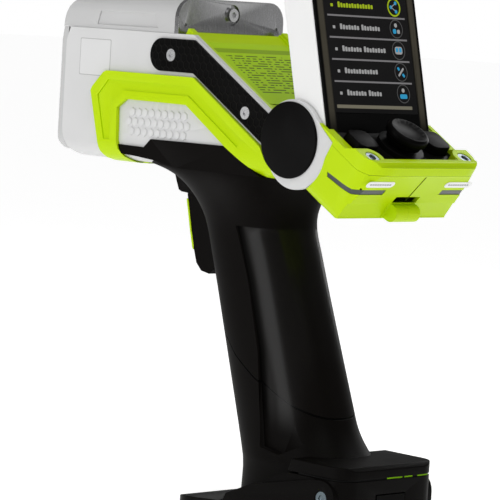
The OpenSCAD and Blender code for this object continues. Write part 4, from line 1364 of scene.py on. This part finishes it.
@dataclass
class Grip:
    """Grip, sleeve and trigger. The skin is a superellipse that changes with height.

    Heights are above the hinge and places behind it, in millimetres. What is near the skin
    is given as a share of its size, and what follows it as a cosine.
    """

    top: float = -17.0
    middle: float = -78.0
    foot: float = -143.6
    centre: float = -36.0
    rake: float = 19.2
    half_depth: float = 27.0
    half_width: float = 19.5
    taper: float = 0.025
    roundness: float = 2.6
    saddle: float = 34.0
    saddle_width: float = 15.4
    heel: float = 19.6
    heel_depth: float = 4.5
    heel_width: float = 1.5
    flat: float = 18.6
    near: float = 0.022
    near_middle: float = 0.02
    follows: float = 0.93
    follows_middle: float = 0.95
    longest: float = 3.2
    trigger: Rounding = Rounding("trigger", 0.8, 4)
    pad_widened: float = 1.5
    pad_forward: float = 0.5
    pad_rounded: float = 0.4

    def section(self, z: float) -> tuple[float, ...]:
        """The skin's section at one height.

        Args:
            z: Height above the hinge, in millimetres.

        Returns:
            Centre, half depth, half width and exponent.
        """
        below = 1 - min(1.0, max(0.0, (self.top - z) / self.saddle))
        swell = (1 - (1 - below) ** 1.5) ** 3.6
        behind = 9 * below ** 2.4 - 4 * below ** 1.6
        ahead = 8 * below ** 12
        heel = min(1.0, max(0.0, (self.foot + self.heel - z) / self.heel)) ** 2
        drop = self.middle - max(z, self.foot - 2.4)
        raked = self.centre + drop * math.tan(math.radians(self.rake))
        centre = raked + behind - ahead + self.heel_depth * heel
        spread = (self.middle + 8 - z) * self.taper
        depth = self.half_depth + spread + behind + ahead + self.heel_depth * heel
        width = self.half_width + max(0.0, spread) + self.saddle_width * swell
        width += self.heel_width * heel
        return centre, depth, width, self.roundness + 1.2 * below ** 3

    def reach(self, point: Vector) -> float:
        """How far out a point lies.

        Args:
            point: The point.

        Returns:
            Its distance from the grip's axis as a share of the skin's: 1 on the skin.
        """
        x, y, z = (point - PLACE.hinge) / MM
        centre, depth, width, power = self.section(z)
        return (abs((x - centre) / depth) ** power + abs(y / width) ** power) ** (1 / power)

    def slope_at(self, point: Vector) -> Vector:
        """The skin's outward direction.

        Args:
            point: A point near the skin.

        Returns:
            The direction there.
        """
        step = 0.05 * MM
        steps = (Vector((step, 0, 0)), Vector((0, step, 0)), Vector((0, 0, step)))
        return Vector([self.reach(point + d) - self.reach(point - d) for d in steps]).normalized()

    def refine(self, bm: Shape, rounds: int = 2) -> None:
        """Splits the long edges on the skin and moves the new points onto it.

        Args:
            bm: A grip piece with flat facets.
            rounds: How many times the edges are split.
        """
        bmesh.ops.triangulate(bm, faces=bm.faces[:])
        for _ in range(rounds):
            skin = {v for v in bm.verts if abs(self.reach(v.co) - 1) < self.near}
            edges = [e for e in bm.edges if set(e.verts) <= skin]
            edges = [e for e in edges if e.calc_length() > self.longest * MM]
            bmesh.ops.subdivide_edges(bm, edges=edges, cuts=1)
            bmesh.ops.triangulate(bm, faces=bm.faces[:])
        for v in bm.verts:
            if abs(self.reach(v.co) - 1) < self.near and self.on_skin(v):
                centre = self.section((v.co.z - PLACE.hinge.z) / MM)[0]
                axis = Vector((PLACE.hinge.x + centre * MM, 0, v.co.z))
                v.co = axis + (v.co - axis) / self.reach(v.co)

    def on_flat(self, points: Sequence[Vector]) -> bool:
        """True where points lie on the flat panel let into a side."""
        return all(abs(abs(p.y) - self.flat * MM) < 0.02 * MM for p in points)

    def on_skin(self, v: bmesh.types.BMVert) -> bool:
        """True where every face round a point follows the skin."""
        out, flat = self.slope_at(v.co), self.on_flat([v.co])
        return not flat and all(f.normal.dot(out) > self.follows for f in v.link_faces)

    def smooth(self, piece: Piece) -> None:
        """Shades the faces that follow the skin with the skin's own directions.

        Args:
            piece: A refined grip piece.
        """
        mesh = piece.data
        normals = [Vector(n.vector) for n in mesh.corner_normals]
        for face in mesh.polygons:
            near = abs(self.reach(face.center) - 1) < self.near_middle
            near = near or self.on_flat([mesh.vertices[index].co for index in face.vertices])
            if near and face.normal.dot(self.slope_at(face.center)) > self.follows_middle:
                for index in face.loop_indices:
                    normals[index] = self.slope_at(mesh.vertices[mesh.loops[index].vertex_index].co)
        mesh.normals_split_custom_set(normals)

    def insert(self) -> None:
        """Lime pad that wraps the front of the trigger."""
        bm = merged_copy("trigger_insert")
        bmesh.ops.scale(bm, vec=(1.0, self.pad_widened, 1.0), verts=bm.verts)
        bmesh.ops.translate(bm, vec=(-self.pad_forward * MM, 0, 0), verts=bm.verts)
        round_off(bm, bm.edges[:], self.pad_rounded, 2)
        stand_in(bm, "trigger_insert", 32.0, name="trigger_pad")

    def build(self) -> None:
        """Makes the grip's pieces."""
        soften(self.trigger)
        self.insert()
        for node in ("grip_left", "grip_right", "handle_sleeve"):
            bm = merged_copy(node)
            self.refine(bm)
            self.smooth(stand_in(bm, node, 22.0))


@dataclass
class Foot:
    """Foot and battery."""

    edges: tuple[Rounding, ...] = (
        Rounding("foot_shell", 0.7),
        Rounding("foot_cover", 0.7),
        Rounding("battery_latch", 0.5),
        Rounding("foot_gasket", 0.1, 2, finish=Extra.gasket),
        Rounding("foot_screws", 0.12, 2, finish=Extra.rim_steel),
    )

    def build(self) -> None:
        """Makes the foot's pieces."""
        for rounding in self.edges:
            soften(rounding)


@dataclass(frozen=True)
class Backdrop(Coat):
    """Pale floor that adds a little light of its own, so that it is even."""

    colour: Colour = (0.90, 0.90, 0.90)
    patch: Colour = (0.92, 0.92, 0.92)
    light: float = 0.55

    def dress(self, s: Shader) -> None:
        """Wires the finish.

        Args:
            s: The shader that it dresses.
        """
        s.paint(s.mix(s.noise(3.0), self.colour, self.patch), 0.9, 0.1)
        s.put("Emission Color", (1.0, 1.0, 1.0))
        s.put("Emission Strength", self.light)


@dataclass(frozen=True)
class SoftBox:
    """Rectangular soft light that faces the instrument. It has metres and watts."""

    name: str
    spot: Spot
    size: Point
    power: float


@dataclass
class Studio:
    """Floor, lights and camera. Angles are in degrees and distances in metres."""

    floor_size: float = 12.0
    floor_drop_mm: float = 0.1
    room_light: float = 0.24
    ceiling_light: float = 0.8
    ceiling_spread: float = 50.0
    ceiling_tilt: Point = (18.0, 14.0)
    aim: Spot = (-0.03, 0.0, 0.15)
    boxes: tuple[SoftBox, ...] = (
        SoftBox("key", (-0.26, -1.05, 0.36), (0.5, 0.9), 4.3),
        SoftBox("fill", (0.75, -0.1, 0.95), (0.6, 0.5), 2.2),
        SoftBox("rear", (-0.2, 1.0, 0.6), (0.25, 0.9), 3.0),
    )
    azimuth: float = 45.0
    height: float = 4.6
    roll: float = 3.4
    distance: float = 1.32
    middle_mm: Spot = (-24.726, -30.443, -50.238)
    sensor_mm: float = 36.0
    lens_mm: float = 216.0
    clip: Point = (0.05, 60.0)

    def build(self) -> None:
        """Makes the stage."""
        self.floor()
        self.surroundings()
        self.ceiling()
        for box in self.boxes:
            self.lamp(box)
        self.camera()

    def floor(self) -> None:
        """Plain pale floor that runs on to the horizon."""
        bm = bmesh.new()
        bmesh.ops.create_grid(bm, x_segments=1, y_segments=1, size=self.floor_size)
        bmesh.ops.translate(bm, vec=(0, 0, -self.floor_drop_mm * MM), verts=bm.verts)
        floor = link("floor", as_mesh(bm, "floor"))
        floor.data.materials.append(PAINT.add("floor_white", Backdrop()))

    def surroundings(self) -> None:
        """White backdrop that lights the instrument only gently."""
        world = bpy.data.worlds.new("surroundings")
        bpy.context.scene.world = world
        world.use_nodes = True
        tree = world.node_tree
        background = tree.nodes["Background"]
        background.inputs["Color"].default_value = (1.0, 1.0, 1.0, 1.0)
        seen = tree.nodes.new("ShaderNodeLightPath")
        level = tree.nodes.new("ShaderNodeMapRange")
        level.inputs["To Min"].default_value = self.room_light
        level.inputs["To Max"].default_value = 1.0
        tree.links.new(seen.outputs["Is Camera Ray"], level.inputs["Value"])
        tree.links.new(level.outputs[0], background.inputs["Strength"])
        view = bpy.context.scene.view_settings
        view.view_transform = "Standard"
        view.look = "None"

    def ceiling(self) -> None:
        """One broad light from above."""
        sun = bpy.data.lights.new("ceiling", "SUN")
        sun.energy = self.ceiling_light
        sun.angle = math.radians(self.ceiling_spread)
        tilt = [math.radians(angle) for angle in self.ceiling_tilt]
        link("ceiling", sun).rotation_euler = (*tilt, 0)

    def lamp(self, box: SoftBox) -> None:
        """Adds one soft light.

        Args:
            box: Its place, size and power.
        """
        data = bpy.data.lights.new(box.name, "AREA")
        data.shape = "RECTANGLE"
        data.size, data.size_y = box.size
        data.energy = box.power
        lamp = link(box.name, data)
        lamp.location = box.spot
        lamp.rotation_mode = "QUATERNION"
        lamp.rotation_quaternion = (Vector(self.aim) - Vector(box.spot)).to_track_quat("-Z", "Y")

    def camera(self) -> None:
        """Camera behind and to the left, slightly above, leaning a little."""
        azimuth, height, roll = (math.radians(v) for v in (self.azimuth, self.height, self.roll))
        behind, side = math.sin(azimuth) * math.cos(height), -math.cos(azimuth) * math.cos(height)
        back = Vector((behind, side, math.sin(height)))
        level = (-back).cross(Vector((0, 0, 1))).normalized()
        upright = level.cross(-back)
        right = math.cos(roll) * level + math.sin(roll) * upright
        up = -math.sin(roll) * level + math.cos(roll) * upright
        data = bpy.data.cameras.new("camera")
        data.sensor_width = self.sensor_mm
        data.lens = self.lens_mm
        data.clip_start, data.clip_end = self.clip
        camera = link("camera", data)
        spot = PLACE.head(*self.middle_mm) + back * self.distance
        camera.matrix_world = PLACE.facing(spot, right, up, back)
        bpy.context.scene.camera = camera


def dress_nodes() -> None:
    """Gives every CAD node the finish of its slot."""
    for node, piece in frame["nodes"].items():
        material = PAINT.get(Finish[SLOT_OF[node]])
        for slot in piece.material_slots:
            slot.material = material


def main() -> None:
    """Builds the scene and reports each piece."""
    logging.basicConfig(level=logging.INFO, format="%(name)s: %(message)s")
    Studio().build()
    dress_nodes()
    for assembly in (Head(), Display(), Keypad(), Grip(), Foot()):
        before = {piece.name for piece in bpy.data.objects}
        assembly.build()
        for piece in bpy.data.objects:
            if piece.name not in before:
                LOG.info("%s: %s", type(assembly).__name__, piece.name)


if __name__ == "__main__":
    main()
